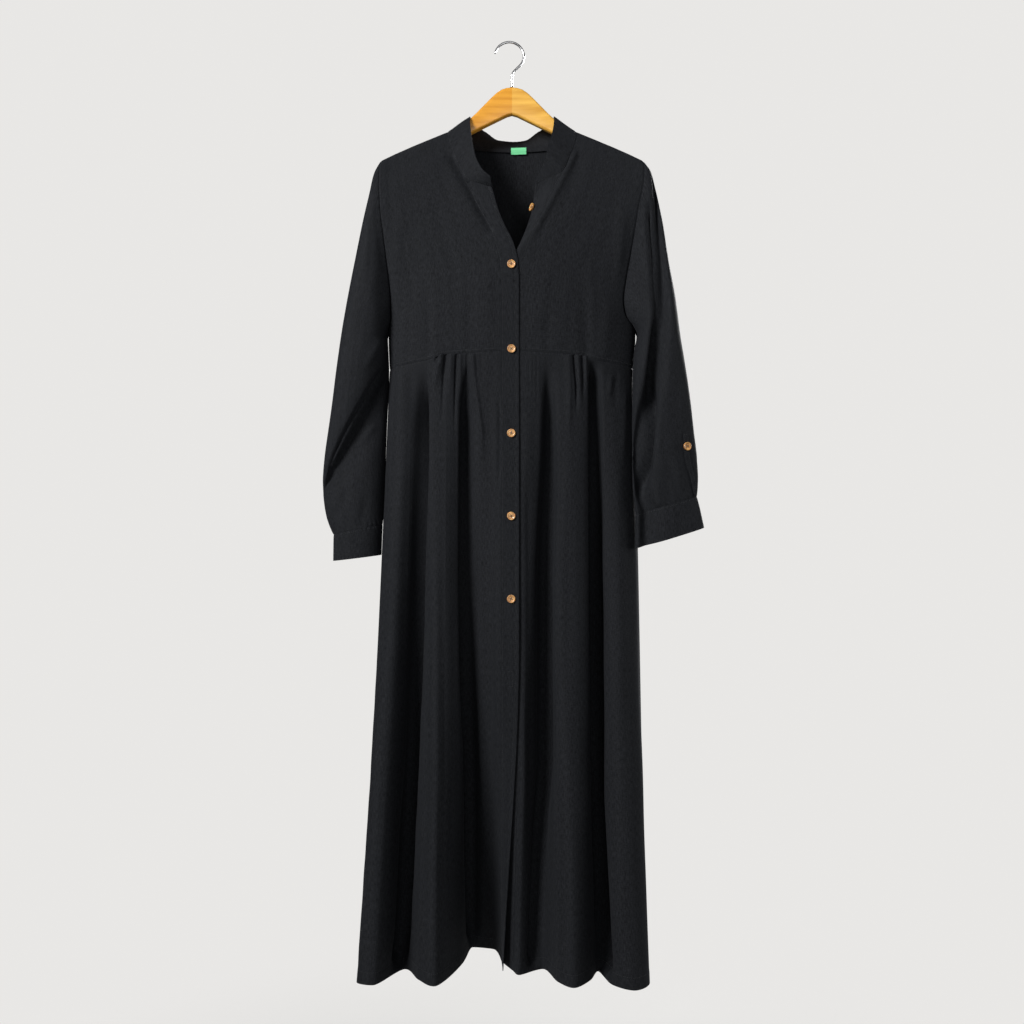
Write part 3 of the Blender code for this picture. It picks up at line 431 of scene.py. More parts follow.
# Folds of the skirt, one row a fold line from the front edge to the side seam:
# waist x, knee x, knee y, hem x, hem y
SKIRT_RIGHT = (
    (-0.0107, -0.0107, -0.0560, 0.0142, -0.0260),
    (0.0168, 0.0168, -0.0535, 0.0175, 0.0130),
    (0.0380, 0.0370, -0.0360, 0.0290, 0.0520),
    (0.0680, 0.0630, -0.0220, 0.0640, 0.0600),
    (0.0860, 0.0830, -0.0480, 0.0790, 0.0000),
    (0.1080, 0.1120, -0.0640, 0.1170, -0.0780),
    (0.1295, 0.1330, -0.0500, 0.1430, -0.0560),
    (0.1450, 0.1520, -0.0300, 0.1668, -0.0210),
    (0.1660, 0.1820, -0.0500, 0.2100, -0.0740),
    (0.1850, 0.2050, -0.0300, 0.2355, -0.0640),
    (0.1929, 0.2120, 0.0000, 0.2375, 0.0000),
)
SKIRT_LEFT = (
    (-0.0168, -0.0145, -0.0520, -0.0158, 0.0040),
    (0.0107, 0.0107, -0.0535, 0.0020, -0.0270),
    (0.0200, 0.0200, -0.0545, 0.0110, -0.0400),
    (0.0560, 0.0470, -0.0330, 0.0480, -0.0200),
    (0.0790, 0.0680, -0.0580, 0.0700, -0.0640),
    (0.0920, 0.0870, -0.0640, 0.0930, -0.0830),
    (0.1080, 0.1130, -0.0520, 0.1190, -0.0580),
    (0.1295, 0.1280, -0.0200, 0.1336, -0.0270),
    (0.1430, 0.1440, -0.0460, 0.1520, -0.0720),
    (0.1620, 0.1640, -0.0560, 0.1830, -0.0910),
    (0.1850, 0.1950, -0.0300, 0.2090, -0.0640),
    (0.1929, 0.2020, 0.0000, 0.2100, 0.0000),
)
SKIRT_BACK = (
    (-0.1929, -0.2120, 0.0000, -0.2375, 0.0000),
    (-0.1810, -0.2000, 0.0360, -0.2250, 0.0660),
    (-0.1520, -0.1650, 0.0300, -0.1820, 0.0500),
    (-0.1295, -0.1330, 0.0620, -0.1420, 0.1020),
    (-0.1080, -0.1100, 0.0520, -0.1150, 0.0840),
    (-0.0600, -0.0610, 0.0720, -0.0640, 0.1250),
    (-0.0200, -0.0200, 0.0560, -0.0220, 0.0980),
    (0.0180, 0.0200, 0.0700, 0.0210, 0.1180),
    (0.0560, 0.0570, 0.0480, 0.0600, 0.0820),
    (0.0880, 0.0920, 0.0680, 0.0960, 0.1120),
    (0.1080, 0.1120, 0.0540, 0.1180, 0.0860),
    (0.1295, 0.1340, 0.0400, 0.1420, 0.0680),
    (0.1520, 0.1600, 0.0540, 0.1690, 0.0900),
    (0.1810, 0.1930, 0.0300, 0.2000, 0.0560),
    (0.1929, 0.2020, 0.0000, 0.2100, 0.0000),
)

# Rings of the sleeves: along, outer x, outer z, inner x, inner z, edge y, front y, back y
SLEEVE_RIGHT = (
    (0.00, 0.2045, -0.1940, 0.1956, -0.4558, 0.000, -0.040, 0.040),
    (0.05, 0.2145, -0.2131, 0.1958, -0.4580, -0.004, -0.042, 0.036),
    (0.12, 0.2225, -0.2444, 0.1957, -0.4610, -0.006, -0.044, 0.034),
    (0.20, 0.2330, -0.2851, 0.1957, -0.4650, -0.008, -0.046, 0.032),
    (0.30, 0.2465, -0.3492, 0.1957, -0.4700, -0.008, -0.048, 0.031),
    (0.40, 0.2610, -0.4244, 0.1955, -0.4760, -0.008, -0.049, 0.030),
    (0.50, 0.2742, -0.5136, 0.1951, -0.4830, -0.008, -0.049, 0.029),
    (0.59, 0.2852, -0.5965, 0.1947, -0.4920, -0.008, -0.047, 0.029),
    (0.66, 0.2930, -0.6592, 0.1943, -0.5020, -0.007, -0.044, 0.029),
    (0.70, 0.2962, -0.6940, 0.1940, -0.5120, -0.006, -0.039, 0.029),
    (0.74, 0.2964, -0.7110, 0.1943, -0.5300, -0.004, -0.022, 0.029),
    (0.80, 0.2950, -0.7290, 0.1963, -0.5780, -0.003, -0.024, 0.028),
    (0.88, 0.2915, -0.7480, 0.1993, -0.6500, -0.003, -0.028, 0.026),
    (0.95, 0.2860, -0.7640, 0.2021, -0.7150, -0.003, -0.029, 0.024),
    (1.00, 0.2810, -0.7760, 0.2042, -0.7600, -0.003, -0.029, 0.023),
)
SLEEVE_LEFT = (
    (0.00, 0.2045, -0.1940, 0.1956, -0.4558, 0.000, -0.040, 0.040),
    (0.05, 0.2160, -0.2123, 0.1958, -0.4580, -0.006, -0.046, 0.034),
    (0.12, 0.2235, -0.2397, 0.1960, -0.4610, -0.010, -0.052, 0.030),
    (0.20, 0.2310, -0.2835, 0.1960, -0.4660, -0.016, -0.058, 0.026),
    (0.30, 0.2420, -0.3461, 0.1935, -0.4750, -0.023, -0.064, 0.020),
    (0.40, 0.2525, -0.4087, 0.1895, -0.4900, -0.031, -0.069, 0.012),
    (0.50, 0.2605, -0.4713, 0.1868, -0.5150, -0.036, -0.070, 0.006),
    (0.60, 0.2695, -0.5339, 0.1853, -0.5500, -0.039, -0.068, -0.002),
    (0.70, 0.2775, -0.5965, 0.1850, -0.5950, -0.040, -0.066, -0.008),
    (0.80, 0.2850, -0.6592, 0.1850, -0.6480, -0.040, -0.063, -0.013),
    (0.90, 0.2865, -0.6900, 0.1860, -0.7000, -0.039, -0.060, -0.016),
    (1.00, 0.2850, -0.7165, 0.1905, -0.7440, -0.038, -0.058, -0.018),
)
RING_BLEND = 0.30
RING_FULLNESS = 0.85
ARMHOLE_GAP = 0.0001
ARMPIT_CLEAR = 0.0004
RING_LAST = 2 * (len(ARM_ROWS) - 1)
TROUGH_DEPTH = 0.015
TROUGH_WIDTH = 1.3
TROUGH_START = 2.4
TROUGH_DRIFT = 7.2
TROUGH_FADE = 0.15
TROUGH_PAST = 1.2
TWIST_LEFT = ((0.0, 0), (0.55, 0), (0.78, 14), (0.90, 0), (1.0, -14))

# The slit of each sleeve: ring column, where it starts, and the bound strip beside it
SLEEVE_STEPS = 18
SLIT_COLUMN = {-1: 21, 1: 3}
SLIT_START = 14 / SLEEVE_STEPS
SLIT_FADE = 0.03
SLIT_HALF = 0.0008
SLIT_REACH = 0.006
SLIT_LOOK = 8
TAB_COLUMNS = {-1: (21.08, 21.95), 1: (2.92, 2.05)}
TAB_SPAN = (13.3 / SLEEVE_STEPS, 17.8 / SLEEVE_STEPS)
TAB_LIFT = 0.0005
TUBE_JOIN = 0.00003

# Where the columns of a skirt panel and of a sleeve are spaced evenly
SKIRT_EVEN_AT = 0.75
SLEEVE_EVEN_AT = 0.4

# Cuffs: how far the band runs on from the sleeve's last ring, at its outer and inner edge
CUFF_RIGHT = ((0.0008, -0.0412), (0.0017, -0.0480))
CUFF_LEFT = ((0.0115, -0.0480), (-0.0010, -0.0530))
CUFF_START = 0.004

# Top edge of the stand collar, from its front end to the shoulder: x, y, z
COLLAR_RIGHT = (
    (0.0336, -0.0520, -0.2275),
    (0.0470, -0.0450, -0.2130),
    (0.0570, -0.0360, -0.1900),
    (0.0605, -0.0290, -0.1720),
    (0.0630, -0.0235, -0.1560),
    (0.0648, -0.0185, -0.1420),
    (0.0658, -0.0118, -0.1290),
    (0.0660, -0.0085, -0.1206),
    (0.0660, -0.0035, -0.1180),
    (0.0660, 0.0000, -0.1175),
)
COLLAR_LEFT = (
    (0.0385, -0.0290, -0.2190),
    (0.0450, -0.0290, -0.2060),
    (0.0530, -0.0280, -0.1850),
    (0.0560, -0.0260, -0.1710),
    (0.0605, -0.0235, -0.1580),
    (0.0640, -0.0185, -0.1430),
    (0.0658, -0.0118, -0.1290),
    (0.0660, -0.0085, -0.1206),
    (0.0660, -0.0035, -0.1180),
    (0.0660, 0.0000, -0.1175),
)
COLLAR_BACK = (
    (0.0660, 0.0045, -0.1179),
    (0.0660, 0.0090, -0.1190),
    (0.0650, 0.0150, -0.1190),
    (0.0590, 0.0270, -0.1205),
    (0.0430, 0.0390, -0.1265),
    (0.0220, 0.0445, -0.1380),
    (0.0000, 0.0460, -0.1400),
)
COLLAR_LEAST_STEP = 0.001
HANG_FROM_Y = 0.003
HANG_FADE = 0.008

# Creases of the upper fronts, as a path of x and z with how far the cloth stands out
# (in if negative), its reach to the left and right, and how it fades at top and bottom
BODICE_CREASES = (
    (((-0.0986, -0.177), (-0.0862, -0.200), (-0.0693, -0.232), (-0.0570, -0.258), (-0.0447, -0.282),
      (-0.0354, -0.298), (-0.0262, -0.320)),
     -0.0052, 0.0075, 0.0034, 0.15, 0.20),
    (((0.104, -0.172), (0.0885, -0.2045), (0.0632, -0.2572), (0.0354, -0.3095), (0.017, -0.337)),
     0.0032, 0.0060, 0.0045, 0.10, 0.30),
    (((0.1062, -0.176), (0.0985, -0.2060), (0.0880, -0.2350), (0.0745, -0.2620)),
     -0.0013, 0.0045, 0.0080, 0.15, 0.50),
    (((-0.1325, -0.370), (-0.1300, -0.440), (-0.1290, -0.506)), -0.0020, 0.0110, 0.0095, 0.7, 0.05),
    (((-0.1130, -0.350), (-0.1120, -0.500)), 0.0012, 0.0120, 0.0130, 0.7, 0.10),
    (((-0.0740, -0.362), (-0.0660, -0.430), (-0.0610, -0.498)), -0.0010, 0.0100, 0.0100, 0.6, 0.10),
    (((-0.1560, -0.330), (-0.1540, -0.450)), -0.0014, 0.0090, 0.0090, 0.5, 0.4),
    (((-0.1800, -0.280), (-0.1760, -0.430)), 0.0022, 0.0075, 0.0085, 0.4, 0.4),
    (((0.1120, -0.380), (0.1140, -0.440), (0.1160, -0.503)), -0.0022, 0.0090, 0.0080, 0.7, 0.05),
    (((0.0990, -0.340), (0.1090, -0.420)), -0.0014, 0.0120, 0.0110, 0.6, 0.3),
    (((0.0700, -0.380), (0.0710, -0.498)), 0.0010, 0.0110, 0.0110, 0.6, 0.10),
    (((0.0550, -0.420), (0.0535, -0.496)), -0.0008, 0.0080, 0.0080, 0.6, 0.10),
    (((0.1740, -0.250), (0.1600, -0.400)), 0.0022, 0.0100, 0.0080, 0.4, 0.4),
    (((0.1480, -0.400), (0.1440, -0.505)), 0.0014, 0.0120, 0.0110, 0.6, 0.10),
    (((-0.030, -0.500), (-0.060, -0.340), (-0.110, -0.240)), 0.0009, 0.0150, 0.0150, 0.4, 0.4),
    (((0.030, -0.480), (0.070, -0.340)), 0.0008, 0.0140, 0.0140, 0.4, 0.4),
)
BACK_CREASES = (
    (((-0.1270, -0.340), (-0.1290, -0.506)), -0.0030, 0.0085, 0.0080, 0.7, 0.02),
    (((-0.1050, -0.360), (-0.1080, -0.500)), 0.0020, 0.0100, 0.0100, 0.7, 0.05),
    (((-0.0560, -0.260), (-0.0500, -0.495)), -0.0014, 0.0140, 0.0130, 0.5, 0.1),
    (((0.0180, -0.240), (0.0150, -0.495)), 0.0015, 0.0150, 0.0150, 0.5, 0.1),
    (((0.0820, -0.300), (0.0900, -0.498)), -0.0017, 0.0110, 0.0120, 0.6, 0.1),
    (((0.1180, -0.350), (0.1210, -0.503)), -0.0032, 0.0080, 0.0075, 0.7, 0.02),
    (((0.1650, -0.260), (0.1600, -0.460)), 0.0020, 0.0110, 0.0100, 0.4, 0.4),
    (((-0.1680, -0.270), (-0.1610, -0.470)), 0.0020, 0.0100, 0.0110, 0.4, 0.4),
    (((-0.0900, -0.190), (-0.0300, -0.230)), -0.0008, 0.0110, 0.0110, 0.4, 0.4),
)

# Gathers and creases of the skirt, in the same columns
SKIRT_CREASES = (
    (((-0.1300, -0.513), (-0.1329, -0.537), (-0.1335, -0.660), (-0.1365, -0.753), (-0.1421, -0.938),
      (-0.1499, -1.124), (-0.1560, -1.216), (-0.1638, -1.386), (-0.1700, -1.4535)),
     -0.0300, 0.0100, 0.0033, 0.11, 0.02),
    (((-0.0660, -0.505), (-0.0742, -0.567), (-0.0757, -0.846), (-0.0711, -1.031), (-0.0680, -1.124),
      (-0.0660, -1.4535)),
     -0.0210, 0.0042, 0.0105, 0.12, 0.05),
    (((0.0560, -0.500), (0.0556, -0.650), (0.0525, -0.753), (0.0494, -0.846), (0.0494, -1.124),
      (0.0433, -1.216), (0.0324, -1.4535)),
     -0.0185, 0.0070, 0.0080, 0.12, 0.03),
    (((0.1215, -0.505), (0.1236, -0.520), (0.1251, -0.753), (0.1267, -0.938), (0.1282, -1.185),
      (0.1360, -1.386), (0.1400, -1.4535)),
     -0.0245, 0.0038, 0.0085, 0.04, 0.02),
    (((-0.1083, -0.498), (-0.1150, -0.530), (-0.1205, -0.560)), 0.0044, 0.0034, 0.0050, 0.01, 0.7),
    (((-0.1150, -0.499), (-0.1195, -0.517)), -0.0030, 0.0018, 0.0022, 0.01, 0.7),
    (((-0.1020, -0.498), (-0.1050, -0.530), (-0.1085, -0.620)), -0.0036, 0.0020, 0.0028, 0.01, 0.8),
    (((-0.0930, -0.498), (-0.0965, -0.580)), 0.0020, 0.0035, 0.0035, 0.01, 0.8),
    (((-0.0850, -0.498), (-0.0865, -0.530), (-0.0890, -0.640)), -0.0034, 0.0018, 0.0022, 0.01, 0.8),
    (((-0.0790, -0.498), (-0.0800, -0.590)), 0.0018, 0.0030, 0.0030, 0.01, 0.8),
    (((-0.0685, -0.498), (-0.0700, -0.570)), -0.0022, 0.0016, 0.0020, 0.01, 0.7),
    (((-0.0590, -0.498), (-0.0560, -0.540), (-0.0500, -0.577), (-0.0450, -0.615), (-0.0445, -0.680)),
     0.0030, 0.0070, 0.0018, 0.01, 0.5),
    (((-0.0480, -0.498), (-0.0440, -0.550)), -0.0010, 0.0025, 0.0025, 0.01, 0.7),
    (((-0.0360, -0.560), (-0.0330, -0.760)), -0.0014, 0.0070, 0.0070, 0.3, 0.4),
    (((-0.0205, -0.545), (-0.0185, -0.590), (-0.0185, -0.660), (-0.0200, -0.715)),
     -0.0020, 0.0040, 0.0016, 0.3, 0.3),
    (((-0.1700, -0.520), (-0.1720, -0.640)), 0.0015, 0.0070, 0.0070, 0.2, 0.5),
    (((-0.1560, -0.518), (-0.1540, -0.620)), -0.0012, 0.0070, 0.0070, 0.1, 0.5),
    (((0.0229, -0.500), (0.0235, -0.590)), 0.0007, 0.0015, 0.0015, 0.1, 0.5),
    (((0.0290, -0.500), (0.0295, -0.570)), 0.0007, 0.0015, 0.0015, 0.1, 0.5),
    (((0.0351, -0.500), (0.0350, -0.600)), 0.0008, 0.0016, 0.0016, 0.1, 0.5),
    (((0.0412, -0.500), (0.0405, -0.580)), 0.0007, 0.0016, 0.0016, 0.1, 0.5),
    (((0.0870, -0.499), (0.0890, -0.560), (0.0870, -0.640)), 0.0020, 0.0060, 0.0032, 0.01, 0.5),
    (((0.0946, -0.499), (0.0962, -0.520), (0.0985, -0.545), (0.0990, -0.600)),
     -0.0042, 0.0016, 0.0020, 0.01, 0.6),
    (((0.1005, -0.499), (0.1030, -0.540), (0.1060, -0.600)), 0.0030, 0.0032, 0.0040, 0.01, 0.7),
    (((0.1075, -0.500), (0.1095, -0.575)), -0.0032, 0.0017, 0.0020, 0.01, 0.6),
    (((0.1130, -0.501), (0.1150, -0.560)), 0.0022, 0.0030, 0.0030, 0.01, 0.6),
    (((0.1545, -0.525), (0.1480, -0.570)), 0.0014, 0.0040, 0.0040, 0.3, 0.4),
    (((0.1620, -0.520), (0.1570, -0.600)), -0.0012, 0.0050, 0.0050, 0.2, 0.5),
    (((0.1760, -0.540), (0.1700, -0.680)), 0.0016, 0.0060, 0.0060, 0.2, 0.4),
    (((0.0880, -0.700), (0.0870, -1.300)), -0.0016, 0.0080, 0.0080, 0.3, 0.3),
    (((0.0240, -0.620), (0.0230, -1.200)), -0.0014, 0.0050, 0.0060, 0.3, 0.3),
    (((0.1580, -0.900), (0.1700, -1.420)), 0.0018, 0.0080, 0.0080, 0.3, 0.2),
    (((-0.1900, -0.900), (-0.2150, -1.420)), 0.0018, 0.0080, 0.0080, 0.3, 0.2),
    (((-0.1050, -0.700), (-0.1080, -1.430)), -0.0014, 0.0070, 0.0070, 0.3, 0.2),
)
BACK_SKIRT_CREASES = (
    (((-0.1225, -0.506), (-0.1240, -0.600)), 0.0028, 0.0040, 0.0045, 0.02, 0.5),
    (((-0.1160, -0.504), (-0.1165, -0.560)), -0.0030, 0.0022, 0.0022, 0.02, 0.5),
    (((-0.1100, -0.502), (-0.1110, -0.580)), 0.0026, 0.0035, 0.0035, 0.02, 0.5),
    (((-0.1030, -0.500), (-0.1030, -0.550)), -0.0028, 0.0022, 0.0024, 0.02, 0.5),
    (((-0.0960, -0.500), (-0.0950, -0.610)), 0.0024, 0.0040, 0.0040, 0.02, 0.5),
    (((-0.0870, -0.500), (-0.0850, -0.570)), -0.0024, 0.0030, 0.0030, 0.02, 0.5),
    (((-0.0790, -0.500), (-0.0760, -0.560)), 0.0018, 0.0035, 0.0035, 0.02, 0.5),
    (((-0.0420, -0.500), (-0.0430, -0.640)), -0.0018, 0.0070, 0.0070, 0.05, 0.4),
    (((-0.0050, -0.500), (-0.0040, -0.660)), 0.0016, 0.0080, 0.0080, 0.05, 0.4),
    (((0.0330, -0.500), (0.0350, -0.620)), -0.0016, 0.0070, 0.0070, 0.05, 0.4),
    (((0.0760, -0.500), (0.0750, -0.590)), 0.0020, 0.0045, 0.0040, 0.02, 0.5),
    (((0.0850, -0.500), (0.0860, -0.555)), -0.0028, 0.0024, 0.0024, 0.02, 0.5),
    (((0.0920, -0.500), (0.0930, -0.600)), 0.0026, 0.0038, 0.0038, 0.02, 0.5),
    (((0.0990, -0.500), (0.1000, -0.545)), -0.0028, 0.0022, 0.0022, 0.02, 0.5),
    (((0.1060, -0.500), (0.1080, -0.610)), 0.0028, 0.0038, 0.0045, 0.02, 0.5),
    (((0.1140, -0.503), (0.1150, -0.560)), -0.0026, 0.0026, 0.0026, 0.02, 0.5),
    (((0.1220, -0.505), (0.1240, -0.590)), 0.0022, 0.0040, 0.0040, 0.02, 0.5),
    (((0.1640, -0.520), (0.1680, -0.680)), -0.0016, 0.0070, 0.0070, 0.1, 0.4),
    (((-0.1650, -0.520), (-0.1700, -0.680)), -0.0018, 0.0070, 0.0070, 0.1, 0.4),
)

# Creases of the sleeves, in the same columns, and where those of their backs lie instead
SLEEVE_BACK_SHIFT = (0.006, 0.035)
SLEEVE_WAVE_SHIFT = 0.3
SLEEVE_CREASES = (
    (((0.2100, -0.250), (0.2155, -0.340), (0.2175, -0.423), (0.2160, -0.480), (0.2114, -0.543),
      (0.2099, -0.605), (0.2061, -0.648), (0.2015, -0.689), (0.1960, -0.728)),
     -0.0170, 0.0052, 0.0068, 0.15, 0.12),
    (((-0.1997, -0.516), (-0.2273, -0.565), (-0.2565, -0.616), (-0.2811, -0.665), (-0.2878, -0.695)),
     -0.0050, 0.0030, 0.0045, 0.05, 0.15),
    (((-0.2350, -0.300), (-0.2500, -0.520)), 0.0016, 0.0080, 0.0080, 0.4, 0.4),
    (((-0.2160, -0.260), (-0.2200, -0.420)), -0.0022, 0.0060, 0.0080, 0.3, 0.5),
    (((-0.2000, -0.470), (-0.2300, -0.530)), 0.0020, 0.0060, 0.0060, 0.2, 0.5),
    (((-0.2100, -0.600), (-0.2400, -0.640)), 0.0018, 0.0060, 0.0060, 0.3, 0.5),
    (((-0.2500, -0.690), (-0.2780, -0.760)), -0.0016, 0.0070, 0.0070, 0.4, 0.3),
    (((-0.2250, -0.700), (-0.2350, -0.765)), -0.0014, 0.0060, 0.0060, 0.5, 0.05),
    (((0.2250, -0.230), (0.2420, -0.420)), 0.0018, 0.0070, 0.0070, 0.4, 0.4),
    (((0.2450, -0.660), (0.2620, -0.715)), 0.0022, 0.0050, 0.0060, 0.4, 0.4),
    (((0.2300, -0.670), (0.2440, -0.730)), -0.0018, 0.0060, 0.0060, 0.4, 0.3),
    (((0.2180, -0.690), (0.2250, -0.735)), 0.0014, 0.0050, 0.0050, 0.4, 0.2),
    (((0.2600, -0.560), (0.2520, -0.640)), 0.0016, 0.0080, 0.0080, 0.4, 0.5),
)
CREASE_START = 0.02


def through(rows, at):
    """The columns of a table at values of its first column, on smooth curves."""
    table = np.asarray(rows, float)
    spots, values = table[:, 0], table[:, 1:]
    at = np.clip(np.asarray(at, float), spots[0], spots[-1])
    spans = np.diff(spots)
    rises = np.diff(values, axis=0) / spans[:, None]
    before, after = rises[:-1], rises[1:]
    turns = before * after <= 0
    inner = np.where(turns, 0.0, 2 * before * after / np.where(turns, 1.0, before + after))
    slopes = np.vstack([rises[:1], inner, rises[-1:]])
    low = np.clip(np.searchsorted(spots, at, side="right") - 1, 0, len(spans) - 1)
    part = ((at - spots[low]) / spans[low])[..., None]
    limit = 3 * np.abs(rises[low])
    start = np.clip(slopes[low], -limit, limit) * spans[low][..., None]
    end = np.clip(slopes[low + 1], -limit, limit) * spans[low][..., None]
    keep = 1 - part
    return (
        values[low] * (1 + 2 * part) * keep**2
        + values[low + 1] * part**2 * (3 - 2 * part)
        + start * part * keep**2
        - end * part**2 * keep
    )


def columns(rows, at):
    """The same as through, one array for each column."""
    return np.moveaxis(through(rows, at), -1, 0)


def three_way(part, bend, start, middle, end):
    """A smooth curve through three values, the middle one at the bend."""
    first = (middle - start) / bend
    last = (end - middle) / (1 - bend)
    turns = first * last <= 0
    slope = np.where(turns, 0.0, 2 * first * last / np.where(turns, 1.0, first + last))
    upper = part < bend
    span = np.where(upper, bend, 1 - bend)
    share = np.where(upper, part / bend, (part - bend) / (1 - bend))
    low, high = np.where(upper, start, middle), np.where(upper, middle, end)
    rise = np.where(upper, first, last)
    limit = 3 * np.abs(rise)
    from_slope = np.clip(np.where(upper, first, slope), -limit, limit) * span
    to_slope = np.clip(np.where(upper, slope, last), -limit, limit) * span
    keep = 1 - share
    return (
        low * (1 + 2 * share) * keep**2
        + high * share**2 * (3 - 2 * share)
        + from_slope * share * keep**2
        - to_slope * share**2 * keep
    )


def straight(rows, at):
    """The second column of a table at values of its first, on straight lines."""
    table = np.asarray(rows, float)
    return np.interp(at, table[:, 0], table[:, 1])


def ease(part):
    """A smooth step from 0 to 1."""
    part = np.clip(part, 0.0, 1.0)
    return part * part * (3 - 2 * part)


def blend(start, end, part):
    """A value that lies a share of the way from one to another."""
    return start + (end - start) * part


def shoulder_z(x):
    """The height of the shoulder line."""
    return straight(SHOULDER_LINE, np.abs(x))


def ridge_y(x):
    """The hanger's arms sweep forward, and the shoulders with them."""
    return -HANGER_SWEEP * (np.abs(x) / HANGER_END_X) ** 2


def body_y(x, z, back=False):
    """The depth of the upper body's cloth at a place on it."""
    drop = np.maximum(0.0, shoulder_z(x) - z)
    depth = through(FALL, drop)[..., 1 if back else 0]
    reach = np.minimum(1.0, np.abs(x) / through(BODY_WIDTH, z)[..., 0])
    oval = (1 - reach**BODY_CORNER) ** (1 / BODY_CORNER)
    sweep = ridge_y(x) * (1 - ease(drop / SWEEP_FADE))
    return sweep + (depth if back else -depth) * oval


def side_turn(inside, along=2.0):
    """How the depth closes to nothing at the side seams, below the armpit."""
    turn = np.sqrt(1 - (1 - np.clip(inside / SIDE_TURN, 0, 1)) ** 2)
    return blend(1.0, turn, ease((along - ARMPIT_FROM) / ARMPIT_SPAN))


def lap_out(x, z):
    """The wearer's right front lies over the left one at the middle."""
    aside = ease((np.abs(x) - LAP_INNER) / LAP_REACH)
    return LAP * (1 - aside) * ease((LAP_TOP - z) / LAP_FADE)


def even_places(curve, first, last, count):
    """Places spaced evenly along a curve, and closer at its two ends where seams roll."""
    dense = np.linspace(first, last, CURVE_STEPS)
    points = curve(dense)
    steps = np.linalg.norm(np.diff(points, axis=0), axis=1)
    length = np.concatenate([[0], np.cumsum(steps)])
    share = np.linspace(0, 1, count)
    close = share[1] * np.array(CLOSE_SHARES)
    share = np.unique(np.concatenate([share, close, 1 - close]))
    return np.interp(share * length[-1], length, dense)


def even_shares(count):
    """Shares from 0 to 1, evenly spaced and closer at the two ends."""
    return even_places(lambda at: np.stack([at, 0 * at], axis=-1), 0, 1, count)


def sheet_normals(points):
    """The outward direction at each point of a grid."""
    down = np.gradient(points, axis=0)
    right = np.gradient(points, axis=1)
    out = np.cross(down, right)
    return out / np.maximum(np.linalg.norm(out, axis=2, keepdims=True), 1e-12)


def edge_lengths(points):
    """How far each point of a grid is from its top, bottom, left and right edge."""
    down = np.linalg.norm(np.diff(points, axis=0), axis=2)
    right = np.linalg.norm(np.diff(points, axis=1), axis=2)
    top = np.vstack([np.zeros((1, points.shape[1])), np.cumsum(down, axis=0)])
    left = np.hstack([np.zeros((points.shape[0], 1)), np.cumsum(right, axis=1)])
    return {"top": top, "bottom": top[-1:] - top, "left": left, "right": left[:, -1:] - left}


def raise_out(points, height):
    """Moves each point of a grid outwards by its height."""
    return points + sheet_normals(points) * height[..., None]


def calm(reach, *edges):
    """1 in a sheet's middle and 0 at its sewn edges, so that its neighbours still meet it."""
    still = 1.0
    for edge in edges:
        still = still * ease(reach[edge] / CALM_REACH)
    return still


def crease_height(x, z, creases):
    """How far cloth stands out at places on listed creases."""
    height = np.zeros_like(x)
    for path, rise, left, right, fade_top, fade_bottom in creases:
        path = np.asarray(path, float)
        legs = np.diff(path, axis=0)
        runs = np.concatenate([[0], np.cumsum(np.linalg.norm(legs, axis=1))])
        nearest = np.full(x.shape, np.inf)
        signed = np.zeros_like(x)
        share = np.zeros_like(x)
        for start, leg, run in zip(path, legs, runs):
            size = np.linalg.norm(leg)
            on = np.clip(((x - start[0]) * leg[0] + (z - start[1]) * leg[1]) / size**2, 0, 1)
            away_x, away_z = x - start[0] - on * leg[0], z - start[1] - on * leg[1]
            away = np.hypot(away_x, away_z)
            closer = away < nearest
            nearest = np.where(closer, away, nearest)
            signed = np.where(closer, away_x, signed)
            share = np.where(closer, (run + on * size) / runs[-1], share)
        reach = np.where(signed < 0, left, right)
        fade = ease(share / fade_top + CREASE_START) * ease((1 - share) / fade_bottom)
        height += rise * np.exp(-((nearest / reach) ** 2)) * fade
    return height


def drape_noise(x, z, size, seed):
    """Gentle waves of no fixed direction, from -1 to 1, the same on every run."""
    waves = np.zeros_like(x)
    for number in range(WAVE_COUNT):
        turn = seed * WAVE_TURN[0] + number * WAVE_TURN[1]
        tall = WAVE_TALL[0] + WAVE_TALL[1] * math.sin(seed + number * WAVE_TALL[2])
        pitch = 2 * math.pi / (size * (WAVE_PITCH[0] + WAVE_PITCH[1] * number))
        run = x * math.cos(turn) + z * tall * math.sin(turn)
        waves += np.sin(pitch * run + seed * WAVE_START[0] + number * WAVE_START[1])
    return waves / WAVE_COUNT


def drape(x, z, waves, *seeds):
    """The gentle waves of one sheet, as a height at each of its places."""
    height = np.zeros_like(x)
    for (rise, size), seed in zip(waves, seeds):
        height = height + rise * drape_noise(x, z, size, seed)
    return height


def seam_roll(reach, depth=SEAM_ROLL, width=SEAM_ROLL_REACH):
    """The cloth turns in at a seam: a height for the distance from it."""
    return -depth * np.exp(-((reach / width) ** 2))


def puckers(along, pitch, swing):
    """Small ripples along a sewn line, from -1 to 1, with an uneven pitch."""
    return np.sin(along / pitch[0] * 2 * math.pi + swing * np.sin(along / pitch[1]))


def stitch_groove(reach, along, inset):
    """A sewn line pulls the cloth in and puckers it a little."""
    pull = np.exp(-(((reach - inset) / GROOVE_WIDTH) ** 2))
    pucker = puckers(along, PUCKER_PITCH, PUCKER_SWING)
    near = np.exp(-(((reach - inset) / PUCKER_REACH) ** 2))
    return -GROOVE_DEPTH * pull + PUCKER_HEIGHT * pucker * near


